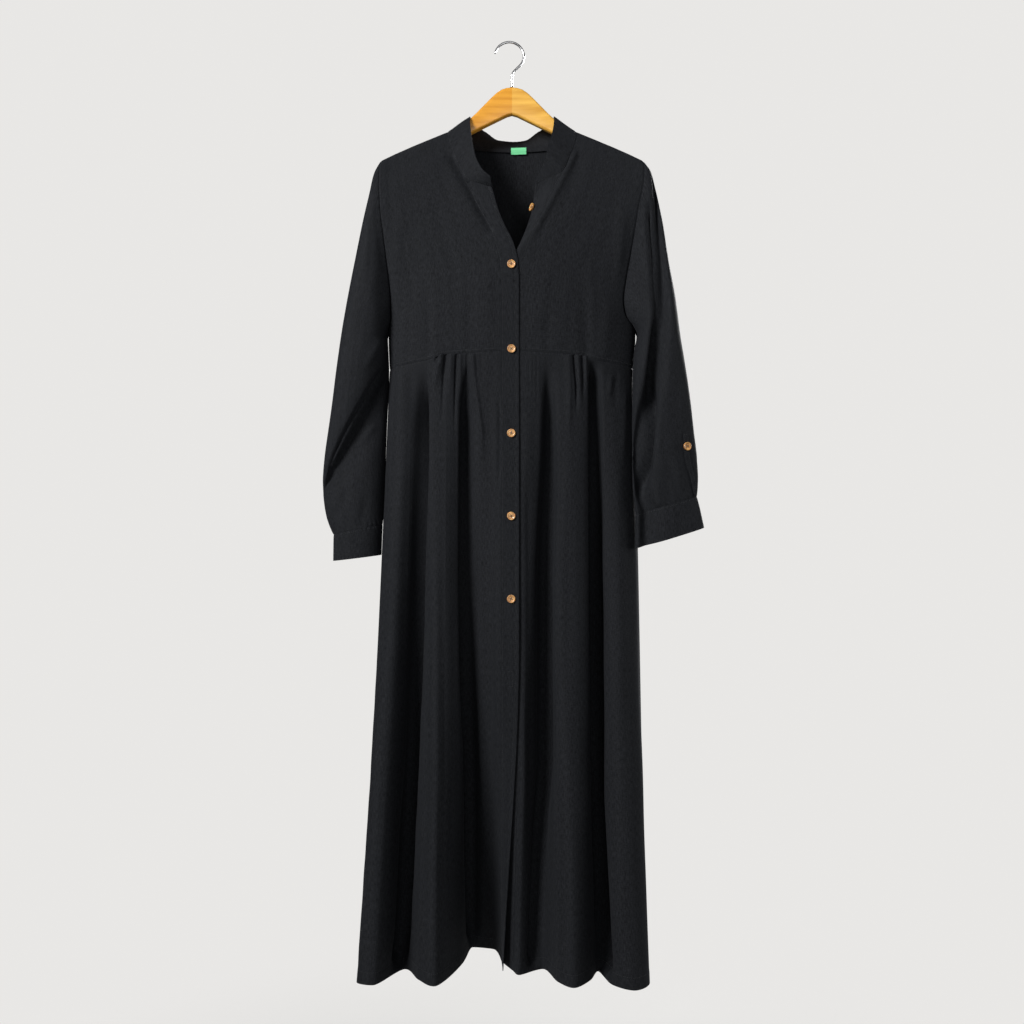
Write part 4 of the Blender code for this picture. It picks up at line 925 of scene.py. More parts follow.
def front_shape(table, side, rows, count):
    """An upper front, from the shoulder to the waist seam."""
    low = through(table, 2.0)

    def across_curve(across):
        x = blend(low[0], low[2], across)
        z = straight(WAIST_LINE, x)
        return np.stack([x, body_y(x, z), z], axis=-1)

    along = even_places(lambda at: through(table, at)[..., 2:], 0, 2, rows)[:, None]
    across = even_places(across_curve, 0, 1, count)[None, :]
    inner_x, inner_z, outer_x, outer_z = columns(table, along)
    top, bottom = through(table, 0.0), through(table, 2.0)
    top_x, bottom_x = blend(top[0], top[2], across), blend(bottom[0], bottom[2], across)
    top_bend = shoulder_z(top_x) - blend(top[1], top[3], across)
    bottom_bend = straight(WAIST_LINE, bottom_x) - blend(bottom[1], bottom[3], across)
    x = blend(inner_x, outer_x, across)
    z = blend(inner_z, outer_z, across)
    z = z + top_bend * (1 - along / 2) ** EDGE_BEND + bottom_bend * (along / 2) ** EDGE_BEND
    y = body_y(x, z) * side_turn(outer_x - x, along) - SIDE_GAP / 2 * (along > 1)
    y = y - SHOULDER_GAP * (along == 0)
    if side < 0:
        y = y - lap_out(x, z)
    points = np.stack([x * side, y, z], axis=-1)
    return points[:, ::-1] if side < 0 else points


def back_shape(rows, count):
    """The upper back, one panel from armhole to armhole."""
    neck = BACK_NECK[-1][0]
    edge = BACK_EDGE[0][1]

    def across_curve(value):
        x = BACK_EDGE[-1][1] * value
        return np.stack([x, body_y(x, WAIST_Z + 0 * x, True), 0 * x], axis=-1)

    along = even_places(lambda at: through(BACK_EDGE, at), 0, 2, rows)[:, None]
    value = even_places(across_curve, -1, 1, count)
    value = np.unique(np.concatenate([value, [-neck / edge, neck / edge]]))[None, ::-1]
    size = np.abs(value)
    edge_x, edge_z = columns(BACK_EDGE, along)
    top_x, low_x = edge * size, BACK_EDGE[-1][1] * size
    top_z = np.where(top_x < neck, straight(BACK_NECK, top_x), shoulder_z(top_x))
    part = (edge_z - BACK_EDGE[0][2]) / (BACK_EDGE[-1][2] - BACK_EDGE[0][2])
    x = edge_x * size
    z = blend(top_z, straight(WAIST_LINE, low_x), part)
    y = body_y(x, z, back=True) * side_turn(edge_x - x, along) + SIDE_GAP / 2 * (along > 1)
    y = y + SHOULDER_GAP * ((along == 0) & (top_x >= neck))
    return np.stack([x * np.sign(value), y, z], axis=-1)


def skirt_section(table, side, place, part, back=False):
    """Points of the skirt: place runs along the fold lines, part from waist to hem."""
    lines = [(index,) + row for index, row in enumerate(table)]
    waist_x, knee_x, knee_y, hem_x, hem_y = columns(lines, place)
    top_z = straight(WAIST_LINE, np.abs(waist_x)) - SEAM_GAP
    waist_y = body_y(waist_x, top_z, back) * side_turn(abs(table[-1][0]) - np.abs(waist_x))
    knee = (KNEE_Z - top_z) / (HEM_Z - top_z)
    x = three_way(part, knee, waist_x, knee_x, hem_x)
    y = three_way(part, knee, waist_y, knee_y, hem_y)
    return np.stack([x * side, y, blend(top_z, HEM_Z, part)], axis=-1)


def skirt_shape(table, side, rows, count, back=False):
    """A panel of the skirt, from the waist seam to the hem."""
    first, last = (0 if back else 1), len(table) - 1

    def across_curve(at):
        return skirt_section(table, side, at, SKIRT_EVEN_AT, back)

    place = even_places(across_curve, first, last, count)[None, :]
    part = even_shares(rows)[:, None]
    points = skirt_section(table, side, place, part, back)
    if not back and side < 0:
        points[..., 1] -= lap_out(points[..., 0], points[..., 2]) * (1 - part)
    points[..., 1] += SIDE_GAP / 2 if back else -SIDE_GAP / 2
    if not back:
        points[..., 0] += np.where(place == first, side * PLACKET_GAP, 0.0)
    return points[:, ::-1] if back or side < 0 else points


def placket_shape(front_table, edge_table, skirt_table, side, lift, rows, count):
    """A front band from the collar to the hem, on the fronts' own edge."""
    across = even_shares(count)[None, :]
    along = np.linspace(PLACKET_START, 2, int(rows * BAND_SPLIT))[:, None]
    inner_x, inner_z = columns(front_table, along)[:2]
    edge_x, edge_z, turned = columns(edge_table, along)
    x = blend(inner_x - PLACKET_GAP, edge_x, across) * side
    z = blend(inner_z, edge_z, across)
    y = body_y(x, z) + turned * across**2 - lift * ease((LAP_TOP - z) / LAP_FADE)
    upper = np.stack([x, y, z], axis=-1)
    part = np.linspace(0, 1, int(rows * (1 - BAND_SPLIT)))[1:, None]
    lower = skirt_section(skirt_table, side, 1 - across, part)
    lower[..., 1] -= lift * (1 - LAP_LOSS * part)
    points = np.concatenate([upper, lower])
    return points[:, ::-1] if side > 0 else points


def oval_points(outer_x, outer_z, inner_x, inner_z, edge_y, depth_y, angle):
    """Points of a flattened ring, from its outer edge at 0 to its inner edge at 180."""
    swing = np.cos(angle)
    return np.stack([
        (outer_x + inner_x) / 2 + (outer_x - inner_x) / 2 * swing,
        blend(edge_y, depth_y, np.abs(np.sin(angle)) ** RING_FULLNESS),
        (outer_z + inner_z) / 2 + (outer_z - inner_z) / 2 * swing,
    ], axis=-1)


def ring_points(table, front_table, side, along, column):
    """Points round a sleeve: down the front half from its outer edge, up the back half."""
    column = np.mod(column, RING_LAST)
    half = RING_LAST / 2
    back = column > half
    number = np.where(back, RING_LAST - column, column)
    angle = math.pi * number / half * np.where(back, -1, 1)
    turn = np.radians(through(TWIST_LEFT, along)[..., 0]) if side > 0 else 0.0 * along
    outer_x, outer_z, inner_x, inner_z, edge_y, front_y, back_y = columns(table, along)
    depth = np.where(np.sin(angle + turn) > 0, front_y, back_y)
    points = oval_points(outer_x, outer_z, inner_x, inner_z, edge_y, depth, angle + turn)
    row = through([(index, value) for index, value in enumerate(ARM_ROWS)], number)[..., 0]
    front_x, front_z = columns(front_table, row)[2:]
    back_x, back_z = columns(BACK_EDGE, row)
    edge_x, edge_z = np.where(back, back_x, front_x), np.where(back, back_z, front_z)
    edge = np.where(back, body_y(edge_x, edge_z, True), body_y(edge_x, edge_z))
    edge = edge * (1 - ease((row - ARMPIT_FROM) / ARMPIT_SPAN))
    seam = np.stack([edge_x + ARMPIT_CLEAR * (1 - np.cos(angle)) / 2, edge, edge_z], axis=-1)
    first = table[0][1:]
    start = oval_points(*first[:5], np.where(back, first[6], first[5]), angle)
    keep = 1 - ease(along / RING_BLEND)
    points = points + (seam - start) * keep[..., None]
    if side > 0:
        centre = TROUGH_START + TROUGH_DRIFT * ease(along)
        trough = np.exp(-(((number - centre) / TROUGH_WIDTH) ** 2)) * ease(along / TROUGH_FADE)
        past = ease((number - half + TROUGH_PAST) / TROUGH_PAST)
        points[..., 1] += TROUGH_DEPTH * trough * np.where(back, past, 1.0)
    return points * np.array([side, 1, 1])


def even_columns(table, front_table, side, at_ring, count):
    """Columns once round a sleeve from its slit, spaced evenly on one of its rings."""
    first = SLIT_COLUMN[side]

    def ring_curve(at):
        return ring_points(table, front_table, side, np.full_like(at, at_ring), at)

    return even_places(ring_curve, first, first + RING_LAST, count)


def sleeve_shape(table, front_table, side, rows, count):
    """A sleeve, open along its slit at the bottom."""
    along = even_shares(rows)
    column = even_columns(table, front_table, side, SLEEVE_EVEN_AT, count)
    closed_rows = int((along <= SLIT_START).sum())
    along, column = along[:, None], column[None, :]
    points = ring_points(table, front_table, side, along + 0 * column, column + 0 * along)
    after = ring_points(table, front_table, side, 1 / SLEEVE_STEPS + 0 * column, column)
    away = after - points[:1]
    away /= np.linalg.norm(away, axis=2, keepdims=True)
    set_off = ARMHOLE_GAP * np.clip(1 - along[..., None] * SLEEVE_STEPS, 0, 1)
    points = points + away * set_off
    part_slit(points, ease((along[:, 0] - SLIT_START) / SLIT_FADE))
    return (points[:, ::-1] if side > 0 else points), closed_rows


def part_slit(points, openness):
    """Moves the two edges of a slit apart, the most in the rows where it is fully open."""
    for edge in (points, points[:, ::-1]):
        away = edge[:, SLIT_LOOK] - edge[:, 0]
        away /= np.linalg.norm(away, axis=1, keepdims=True)
        reach = np.linalg.norm(edge - edge[:, :1], axis=2)
        shift = SLIT_HALF * np.clip(1 - reach / SLIT_REACH, 0, 1) * openness[:, None]
        edge += away[:, None] * shift[..., None]


def cuff_shape(table, front_table, side, reach, rows, count):
    """An open band below the sleeve, parted at the slit."""
    column = even_columns(table, front_table, side, 1.0, count)[None, :]
    share = np.linspace(CUFF_START, 1, rows)[:, None]
    ring = ring_points(table, front_table, side, np.ones_like(column), column)
    (outer_x, outer_z), (inner_x, inner_z) = reach
    swing = (1 + np.cos(math.pi * column / (RING_LAST / 2))) / 2
    move_x = blend(inner_x, outer_x, swing) * side
    move_z = blend(inner_z, outer_z, swing)
    points = ring + np.stack([move_x * share, 0 * share * move_x, move_z * share], axis=-1)
    part_slit(points, np.ones(rows))
    return points[:, ::-1] if side > 0 else points


def tab_shape(table, front_table, side, rows, count):
    """The bound strip that lies on the sleeve beside its slit."""
    along = np.linspace(*TAB_SPAN, rows)[:, None]
    column = np.linspace(*TAB_COLUMNS[side], count)[None, :]
    points = ring_points(table, front_table, side, along + 0 * column, column + 0 * along)
    return raise_out(points, np.full(points.shape[:2], SEAM_GAP + CLOTH_THICK + TAB_LIFT))


def collar_side(front_table, edge_table, tops, side):
    """The collar's seam and top points on one front, from its front end to the shoulder."""
    corner = through(front_table, PLACKET_START)[:2]
    free = through(edge_table, PLACKET_START)
    half = (free + np.append(corner, 0.0)) / 2
    seams = [tuple(free), tuple(half)]
    for along in reversed([row for row in ARM_ROWS if row <= PLACKET_START]):
        seams.append(tuple(through(front_table, along)[:2]) + (0.0,))
    pairs = []
    for (x, z, turn), (top_x, top_y, top_z) in zip(seams, tops):
        seam = (x * side, float(body_y(x, z)) + turn, z)
        pairs.append(seam + (top_x * side, top_y + ridge_y(top_x), top_z))
    return pairs


def collar_shape(rows, count):
    """The stand collar, from its left front end round the back to its right front end."""
    right = collar_side(FRONT_RIGHT, FREE_EDGE_RIGHT, COLLAR_RIGHT, -1)
    left = collar_side(FRONT_LEFT, FREE_EDGE_LEFT, COLLAR_LEFT, 1)
    back = []
    for (seam_x, seam_z), (top_x, top_y, top_z) in zip(reversed(BACK_NECK[:-1]), COLLAR_BACK):
        seam = (seam_x, float(body_y(seam_x, seam_z, True)), seam_z)
        back.append(seam + (top_x, top_y + ridge_y(top_x), top_z))
    mirrored = [(-a, b, c, -d, e, f) for a, b, c, d, e, f in back]
    stations = left + back + list(reversed(mirrored[:-1])) + list(reversed(right))
    runs = [0.0]
    for before, after in zip(stations, stations[1:]):
        runs.append(runs[-1] + max(COLLAR_LEAST_STEP, math.dist(before[:3], after[:3])))
    table = [(run,) + station for run, station in zip(runs, stations)]
    place = even_places(lambda at: through(table, at)[..., :3], 0, runs[-1], count)
    both = through(table, place)
    seam, top = both[None, :, :3], both[None, :, 3:]
    lift = (top - seam) / np.linalg.norm(top - seam, axis=2, keepdims=True)
    part = np.linspace(1, 0, rows)[:, None, None]
    return blend(seam + lift * COLLAR_GAP, top, part)


def choose(piece):
    """Makes one object the only selected one and the active one."""
    bpy.ops.object.select_all(action="DESELECT")
    piece.select_set(True)
    bpy.context.view_layer.objects.active = piece


def into_scene(name, data):
    """A new object in the scene."""
    thing = bpy.data.objects.new(name, data)
    bpy.context.scene.collection.objects.link(thing)
    return thing


def make_sheet(name, points, thick=CLOTH_THICK, closed_rows=0, slot="cloth", held="hung"):
    """A thin shell of cloth on a grid of outer points, with a map of its cut in metres.

    The grid's left and right edges are joined in its first closed_rows rows.
    """
    rows, count = points.shape[:2]
    reach = edge_lengths(points)
    index = np.arange(rows * count).reshape(rows, count)
    corners = np.stack([index[:-1, :-1], index[1:, :-1], index[1:, 1:], index[:-1, 1:]], axis=-1)
    mesh = bpy.data.meshes.new(name)
    mesh.from_pydata(points.reshape(-1, 3).tolist(), [], corners.reshape(-1, 4).tolist())
    cut = mesh.uv_layers.new(name="cut")
    across, down = np.meshgrid(reach["left"].mean(axis=0), reach["top"].mean(axis=1))
    places = np.stack([across, -down], axis=-1).reshape(-1, 2)
    loops = np.empty(len(mesh.loops), int)
    mesh.loops.foreach_get("vertex_index", loops)
    cut.data.foreach_set("uv", places[loops].astype(np.float32).ravel())
    piece = into_scene(name, mesh)
    choose(piece)
    bpy.ops.object.shade_smooth()
    if closed_rows:
        close_tube(piece, index, closed_rows)
    wall = piece.modifiers.new("wall", "SOLIDIFY")
    wall.thickness = thick
    wall.offset = -1.0
    bpy.ops.object.modifier_apply(modifier="wall")
    piece.data.set_sharp_from_angle(angle=math.radians(CREASE_ANGLE))
    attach(piece, "root")
    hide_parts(name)
    return piece


def close_tube(piece, index, closed_rows):
    """Joins the two edges of a sleeve above its slit."""
    chosen = np.zeros(len(piece.data.vertices), bool)
    chosen[index[:closed_rows, 0]] = True
    chosen[index[:closed_rows, -1]] = True
    piece.data.vertices.foreach_set("select", chosen)
    bpy.ops.object.mode_set(mode="EDIT")
    bpy.ops.mesh.select_mode(type="VERT")
    bpy.ops.mesh.remove_doubles(threshold=TUBE_JOIN)
    bpy.ops.object.mode_set(mode="OBJECT")


def dress(name, shape, height, material, tucks=(), **how):
    """Raises a panel's folds and sewing, makes its sheet and returns its outer points.

    tucks are the edges turned in behind the next sheet, each with its share by row
    and how far it hangs below that.
    """
    points = raise_out(shape, height) + np.array([CENTRE_X, 0, 0])
    whole = points
    for edge, *how_far in tucks:
        whole = turned_in(whole, edge, *how_far)
    piece = make_sheet(name, whole, **how)
    piece.data.materials.append(material)
    return points


def dress_front(name, table, side, material):
    """An upper front, its placket edge under the band and its armhole tucked in."""
    shape = front_shape(table, side, *FRONT_GRID)
    reach = edge_lengths(shape)
    x, z = shape[..., 0], shape[..., 2]
    placket, armhole = ("right", "left") if side < 0 else ("left", "right")
    height = crease_height(x, z, BODICE_CREASES)
    waves = drape(x, z, FRONT_WAVES, 1 + side, 3)
    height += waves * calm(reach, "top", "bottom", "left", "right")
    rolls = seam_roll(reach["bottom"]) + seam_roll(reach[armhole])
    height += rolls + seam_roll(reach[placket], FLAT_ROLL)
    height += seam_roll(reach["top"], SOFT_ROLL)
    height += stitch_groove(reach["bottom"], reach["left"], TOPSTITCH_IN)
    return dress(name, shape, height, material, tucks=((armhole, 1.0),))


def dress_back(material):
    """The upper back, with its armholes tucked in behind the sleeves."""
    shape = back_shape(*BACK_GRID)
    reach = edge_lengths(shape)
    x, z = shape[..., 0], shape[..., 2]
    height = crease_height(x, z, BACK_CREASES)
    waves = drape(x, z, BACK_WAVES, 4, 5)
    height += waves * calm(reach, "top", "bottom", "left", "right")
    height += seam_roll(reach["bottom"]) + seam_roll(reach["left"]) + seam_roll(reach["right"])
    height += seam_roll(reach["top"], LOW_ROLL)
    height += stitch_groove(reach["bottom"], reach["left"], TOPSTITCH_IN)
    above_armpit = ease((z[:, 0] - ARMPIT_Z) / ARMPIT_FADE)
    tucks = (("left", above_armpit), ("right", above_armpit))
    return dress("back_bodice", shape, height, material, tucks=tucks)


def dress_skirt(name, table, side, creases, material, back=False):
    """A panel of the skirt, gathered into the waist seam and turned up at the hem."""
    shape = skirt_shape(table, side, *(BACK_SKIRT_GRID if back else SKIRT_GRID), back)
    reach = edge_lengths(shape)
    x, z = shape[..., 0], shape[..., 2]
    height = crease_height(x, z, creases)
    seed = 6 + side + 3 * back
    waves = drape(x, z, SKIRT_WAVES, seed, seed + 2)
    height += waves * calm(reach, "top", "left", "right")
    height += seam_roll(reach["top"]) + hem_fold(reach["bottom"], reach["left"])
    if back:
        height += seam_roll(reach["left"]) + seam_roll(reach["right"])
    else:
        placket, outer = ("right", "left") if side < 0 else ("left", "right")
        height += seam_roll(reach[outer]) + seam_roll(reach[placket], FLAT_ROLL)
    tucks = (("top", 1.0),) if back else ((outer, 1.0), ("top", 1.0))
    return dress(name, shape, height, material, tucks=tucks)


def hem_fold(reach, along):
    """The turned hem: a little thicker below its line of stitches."""
    doubled = 1 - ease((reach - HEM_DEPTH) / HEM_STEP)
    return HEM_RISE * doubled + stitch_groove(reach, along, HEM_DEPTH)


def dress_placket(name, fronts, edges, skirt, side, lift, material):
    """A front band, with a roll at its free edge and a line of stitches inside it."""
    shape = placket_shape(fronts, edges, skirt, side, lift, *BAND_GRID)
    reach = edge_lengths(shape)
    free, sewn = ("right", "left") if side < 0 else ("left", "right")
    x, z = shape[..., 0], shape[..., 2]
    upper = ease((z - WAIST_Z) / WAIST_FADE)
    height = upper * crease_height(x, z, BODICE_CREASES)
    height += (1 - upper) * crease_height(x, z, SKIRT_CREASES)
    height += drape(x, z, BAND_WAVES, 9 + side) * calm(reach, sewn, "top")
    height += BAND_RISE * np.exp(-(((reach[free] - BAND_ROLL) / BAND_ROLL) ** 2))
    height += stitch_groove(reach[free], reach["top"], BAND_STITCH_IN)
    return dress(name, shape, height, material)


def dress_sleeve(name, table, holes, side, material):
    """A sleeve, with its creases front and back and the puckers above its cuff."""
    shape, closed_rows = sleeve_shape(table, holes, side, *SLEEVE_GRID)
    reach = edge_lengths(shape)
    x, z = shape[..., 0], shape[..., 2]
    out = sheet_normals(shape)[..., 1]
    front = ease(0.5 - 2 * out)
    height = front * crease_height(x, z, SLEEVE_CREASES)
    back_x, back_z = x - SLEEVE_BACK_SHIFT[0] * side, z + SLEEVE_BACK_SHIFT[1]
    height += (1 - front) * crease_height(back_x, back_z, SLEEVE_CREASES)
    waves = drape(x + SLEEVE_WAVE_SHIFT * (out > 0), z, SLEEVE_WAVES[:1], 12 + side)
    waves += drape(x, z, SLEEVE_WAVES[1:], 14 + side)
    height += waves * calm(reach, "top", "bottom", "left", "right")
    height += seam_roll(reach["top"]) + seam_roll(reach["bottom"], SOFT_ROLL)
    pucker = CUFF_PUCKER_HEIGHT * puckers(reach["left"], CUFF_PUCKER_PITCH, CUFF_PUCKER_SWING)
    height += pucker * np.exp(-((reach["bottom"] - CUFF_PUCKER_AT) / CUFF_PUCKER_REACH) ** 2)
    return dress(name, shape, height, material, closed_rows=closed_rows)


def dress_cuff(name, table, holes, side, reach_on, material):
    """An open band at the wrist, stitched at both edges."""
    shape = cuff_shape(table, holes, side, reach_on, *CUFF_GRID)
    reach = edge_lengths(shape)
    height = drape(shape[..., 0], shape[..., 2], CUFF_WAVES, 17 + side) * calm(reach, "top")
    height += seam_roll(reach["top"], LOW_ROLL)
    height += stitch_groove(reach["top"], reach["left"], EDGE_STITCH_IN)
    height += stitch_groove(reach["bottom"], reach["left"], EDGE_STITCH_IN)
    return dress(name, shape, height, material, tucks=(("top", 1.0),))


def dress_tab(name, table, holes, side, material):
    """The bound strip beside a sleeve's slit."""
    shape = tab_shape(table, holes, side, *TAB_GRID)
    return dress(name, shape, np.zeros(shape.shape[:2]), material)


def dress_collar(material):
    """The stand collar, tucked in at the neck and hanging a little lower at the back."""
    shape = collar_shape(*COLLAR_GRID)
    reach = edge_lengths(shape)
    height = drape(shape[..., 0], shape[..., 2], COLLAR_WAVES, 21) * calm(reach, "bottom")
    height += seam_roll(reach["bottom"], SOFT_ROLL)
    height += stitch_groove(reach["top"], reach["left"], EDGE_STITCH_IN)
    height += stitch_groove(reach["bottom"], reach["left"], EDGE_STITCH_IN)
    hang = COLLAR_HANG * ease((shape[-1, :, 1] - HANG_FROM_Y) / HANG_FADE)
    return dress("collar", shape, height, material, tucks=(("bottom", 1.0, hang),))


def dress_label(material):
    """The blank tape sewn in at the back neck seam."""
    rows, count = LABEL_GRID
    across = np.linspace(LABEL_WIDE[1], LABEL_WIDE[0], count)[None, :]
    z = np.linspace(*LABEL_HIGH, rows)[:, None] + 0 * across
    x = across + 0 * z
    y = body_y(x, np.minimum(z, BACK_NECK[0][1]), True) - LABEL_SET_IN
    shape = np.stack([x, y, z], axis=-1)
    height = drape(x, z, LABEL_WAVES, 2)
    return dress("neck_label", shape, height, material, thick=LABEL_THICK, slot="neck_tape")


def turned_in(points, edge, share=1.0, hang=0.0):
    """A sheet with one more row past an edge, turned in behind the next sheet."""
    normals = sheet_normals(points)
    across = edge in ("left", "right")
    last = edge in ("right", "bottom")
    if across:
        points, normals = points.transpose(1, 0, 2), normals.transpose(1, 0, 2)
    if last:
        points, normals = points[::-1], normals[::-1]
    past = points[0] - points[TUCK_LOOK]
    past /= np.maximum(np.linalg.norm(past, axis=1, keepdims=True), 1e-9)
    share = np.reshape(share * np.ones(points.shape[1]), (-1, 1))
    extra = points[0] + (past * TUCK_PAST - normals[0] * TUCK_DEEP) * share + past * TUCK_SHOW
    extra[:, 2] -= hang
    points = np.concatenate([extra[None], points])
    if last:
        points = points[::-1]
    return points.transpose(1, 0, 2) if across else points


def line_inside(points, edge, inset):
    """A line on a sheet at a fixed distance from one of its edges."""
    reach = edge_lengths(points)[edge]
    if edge in ("top", "bottom"):
        points, reach = points.transpose(1, 0, 2), reach.T
    if edge in ("right", "bottom"):
        points, reach = points[:, ::-1], reach[:, ::-1]
    out = []
    for row, far in zip(points, reach):
        out.append([np.interp(inset, far, row[:, axis]) for axis in range(3)])
    return np.array(out)


def nearest_on(points, place):
    """The point of a sheet nearest to a place seen from the front, and the way out from it."""
    away = np.hypot(points[..., 0] - place[0], points[..., 2] - place[1])
    row, column = np.unravel_index(np.argmin(away), away.shape)
    return points[row, column], sheet_normals(points)[row, column]


def sew(name, sheet, lines, material, pitch=STITCH_PITCH, long=STITCH_LONG, thick=STITCH_THICK):
    """Stitches along lines on a sheet, each a small spindle of thread."""
    normals = sheet_normals(sheet).reshape(-1, 3)
    flat = sheet.reshape(-1, 3)
    vertices, faces = [], []
    for line in lines:
        steps = np.linalg.norm(np.diff(line, axis=0), axis=1)
        runs = np.concatenate([[0], np.cumsum(steps)])
        for start in np.arange(pitch * STITCH_FIRST, runs[-1] - long, pitch):
            ends = []
            for at in (start, start + long):
                ends.append(np.array([np.interp(at, runs, line[:, k]) for k in range(3)]))
            middle = (ends[0] + ends[1]) / 2
            near = np.argmin(((flat - middle) ** 2).sum(axis=1))
            out = normals[near]
            ahead = (ends[1] - ends[0]) / max(np.linalg.norm(ends[1] - ends[0]), 1e-9)
            across = np.cross(out, ahead)
            first = len(vertices)
            lift = out * thick * STITCH_LIFT
            ring = [middle + lift + across * thick / 2, middle + lift + out * thick / 2]
            ring += [middle + lift - across * thick / 2, middle + lift - out * thick / 2]
            vertices += [ends[0], ends[1]] + ring
            for k in range(4):
                after = (k + 1) % 4
                faces.append((first, first + 2 + after, first + 2 + k))
                faces.append((first + 1, first + 2 + k, first + 2 + after))
    mesh = bpy.data.meshes.new(name)
    mesh.from_pydata([tuple(v) for v in vertices], [], faces)
    mesh.shade_smooth()
    return finish_piece(into_scene(name, mesh), material)


def finish_piece(piece, material, node=None):
    """Gives a piece its material and its body, and hides the solid that it stands for."""
    piece.data.materials.clear()
    piece.data.materials.append(material)
    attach(piece, "root")
    if node:
        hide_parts(node)
    return piece


def hanger_arm(side, material):
    """One arm of the hanger, drawn out from the middle section by section."""
    places = np.linspace(0, HANGER_END_X, HANGER_STEPS)
    tops, bottoms = columns(HANGER_ARM, places)
    middles, heights = (tops + bottoms) / 2, tops - bottoms
    sweep = ridge_y(places)
    first = places[1]
    middle = side * (first - HANGER_OVERRUN) / 2
    bpy.ops.mesh.primitive_cube_add(size=1, location=(middle, 0, middles[0]))
    arm = bpy.context.object
    arm.name = "hanger_arm_right" if side < 0 else "hanger_arm_left"
    arm.scale = (first + HANGER_OVERRUN, HANGER_THICK, heights[0])
    bpy.ops.object.transform_apply(location=True, rotation=False, scale=True)
    bpy.ops.object.mode_set(mode="EDIT")
    shape_end(arm, side * first, sweep[1], middles[1], heights[1] / heights[0])
    for at in range(2, HANGER_STEPS):
        step = (side * (places[at] - places[at - 1]), 0, 0)
        bpy.ops.mesh.extrude_region_move(TRANSFORM_OT_translate={"value": step})
        shape_end(arm, side * places[at], sweep[at], middles[at], heights[at] / heights[at - 1])
    bpy.ops.object.mode_set(mode="OBJECT")
    rounding = arm.modifiers.new("rounding", "BEVEL")
    rounding.width = HANGER_ROUND
    rounding.segments = HANGER_ROUND_STEPS
    rounding.limit_method = "ANGLE"
    rounding.angle_limit = math.radians(HANGER_CORNER)
    bpy.ops.object.modifier_apply(modifier="rounding")
    bpy.ops.object.mode_set(mode="EDIT")
    bpy.ops.mesh.select_all(action="SELECT")
    bpy.ops.mesh.bisect(plane_co=(0, 0, 0), plane_no=(side, 0, 0), clear_inner=True, use_fill=True)
    bpy.ops.object.mode_set(mode="OBJECT")
    arm.location.x = CENTRE_X
    bpy.ops.object.transform_apply(location=True, rotation=False, scale=False)
    bpy.ops.object.shade_smooth_by_angle(angle=math.radians(SMOOTH_ANGLE))
    return finish_piece(arm, material, "hanger")


def shape_end(arm, x, y, z, taller):
    """Selects the arm's end face, makes it taller or lower and moves it to its place."""
    bpy.ops.mesh.select_mode(type="FACE")
    bpy.ops.mesh.select_all(action="DESELECT")
    mesh = bmesh.from_edit_mesh(arm.data)
    end = max(mesh.faces, key=lambda face: abs(face.calc_center_median().x) + abs(face.normal.x))
    end.select_set(True)
    centre = end.calc_center_median()
    bmesh.update_edit_mesh(arm.data)
    bpy.ops.transform.resize(value=(1, 1, taller), center_override=tuple(centre))
    bpy.ops.transform.translate(value=(x - centre.x, y - centre.y, z - centre.z))


def wire_hook(material):
    """The wire hook, from its domed tip over the saddle and down into the wood."""
    centre_z = WIRE_RADIUS - HOOK_RADIUS
    points = []
    for degrees in np.linspace(HOOK_TIP_ANGLE, HOOK_TURN_ANGLE, HOOK_BEND_STEPS):
        angle = math.radians(degrees)
        points.append((HOOK_RADIUS * math.cos(angle), centre_z + HOOK_RADIUS * math.sin(angle)))
    shank = [(number,) + place for number, place in enumerate(HOOK_SHANK)]
    rows = np.linspace(0, len(HOOK_SHANK) - 1, HOOK_SHANK_STEPS)
    points += [tuple(place) for place in through(shank, rows)]
    wire = bpy.data.curves.new("hook_wire", "CURVE")
    wire.dimensions = "3D"
    wire.bevel_depth = WIRE_RADIUS
    wire.bevel_resolution = 6
    wire.use_fill_caps = True
    path = wire.splines.new("POLY")
    path.points.add(len(points) - 1)
    for control, (x, z) in zip(path.points, points):
        control.co = (x, 0.0, z, 1.0)
    for control, radius in zip(path.points, HOOK_TIP_SHARES):
        control.radius = radius
    hook = into_scene("hook_wire", wire)
    choose(hook)
    bpy.ops.object.convert(target="MESH")
    hook.data.shade_smooth()
    return finish_piece(hook, material, "hook")


def hook_collar(material):
    """The small sunk collar where the wire goes into the wood."""
    x, z = HOOK_SHANK[-1]
    bpy.ops.mesh.primitive_torus_add(
        major_radius=WIRE_RADIUS + HOOK_COLLAR_WIRE, minor_radius=HOOK_COLLAR_WIRE,
        major_segments=32, minor_segments=10, location=(x, 0, z + HOOK_COLLAR_UP),
    )
    ring = bpy.context.object
    ring.name = "hook_collar"
    bpy.ops.object.transform_apply(location=True, rotation=True, scale=True)
    ring.data.shade_smooth()
    return finish_piece(ring, material)


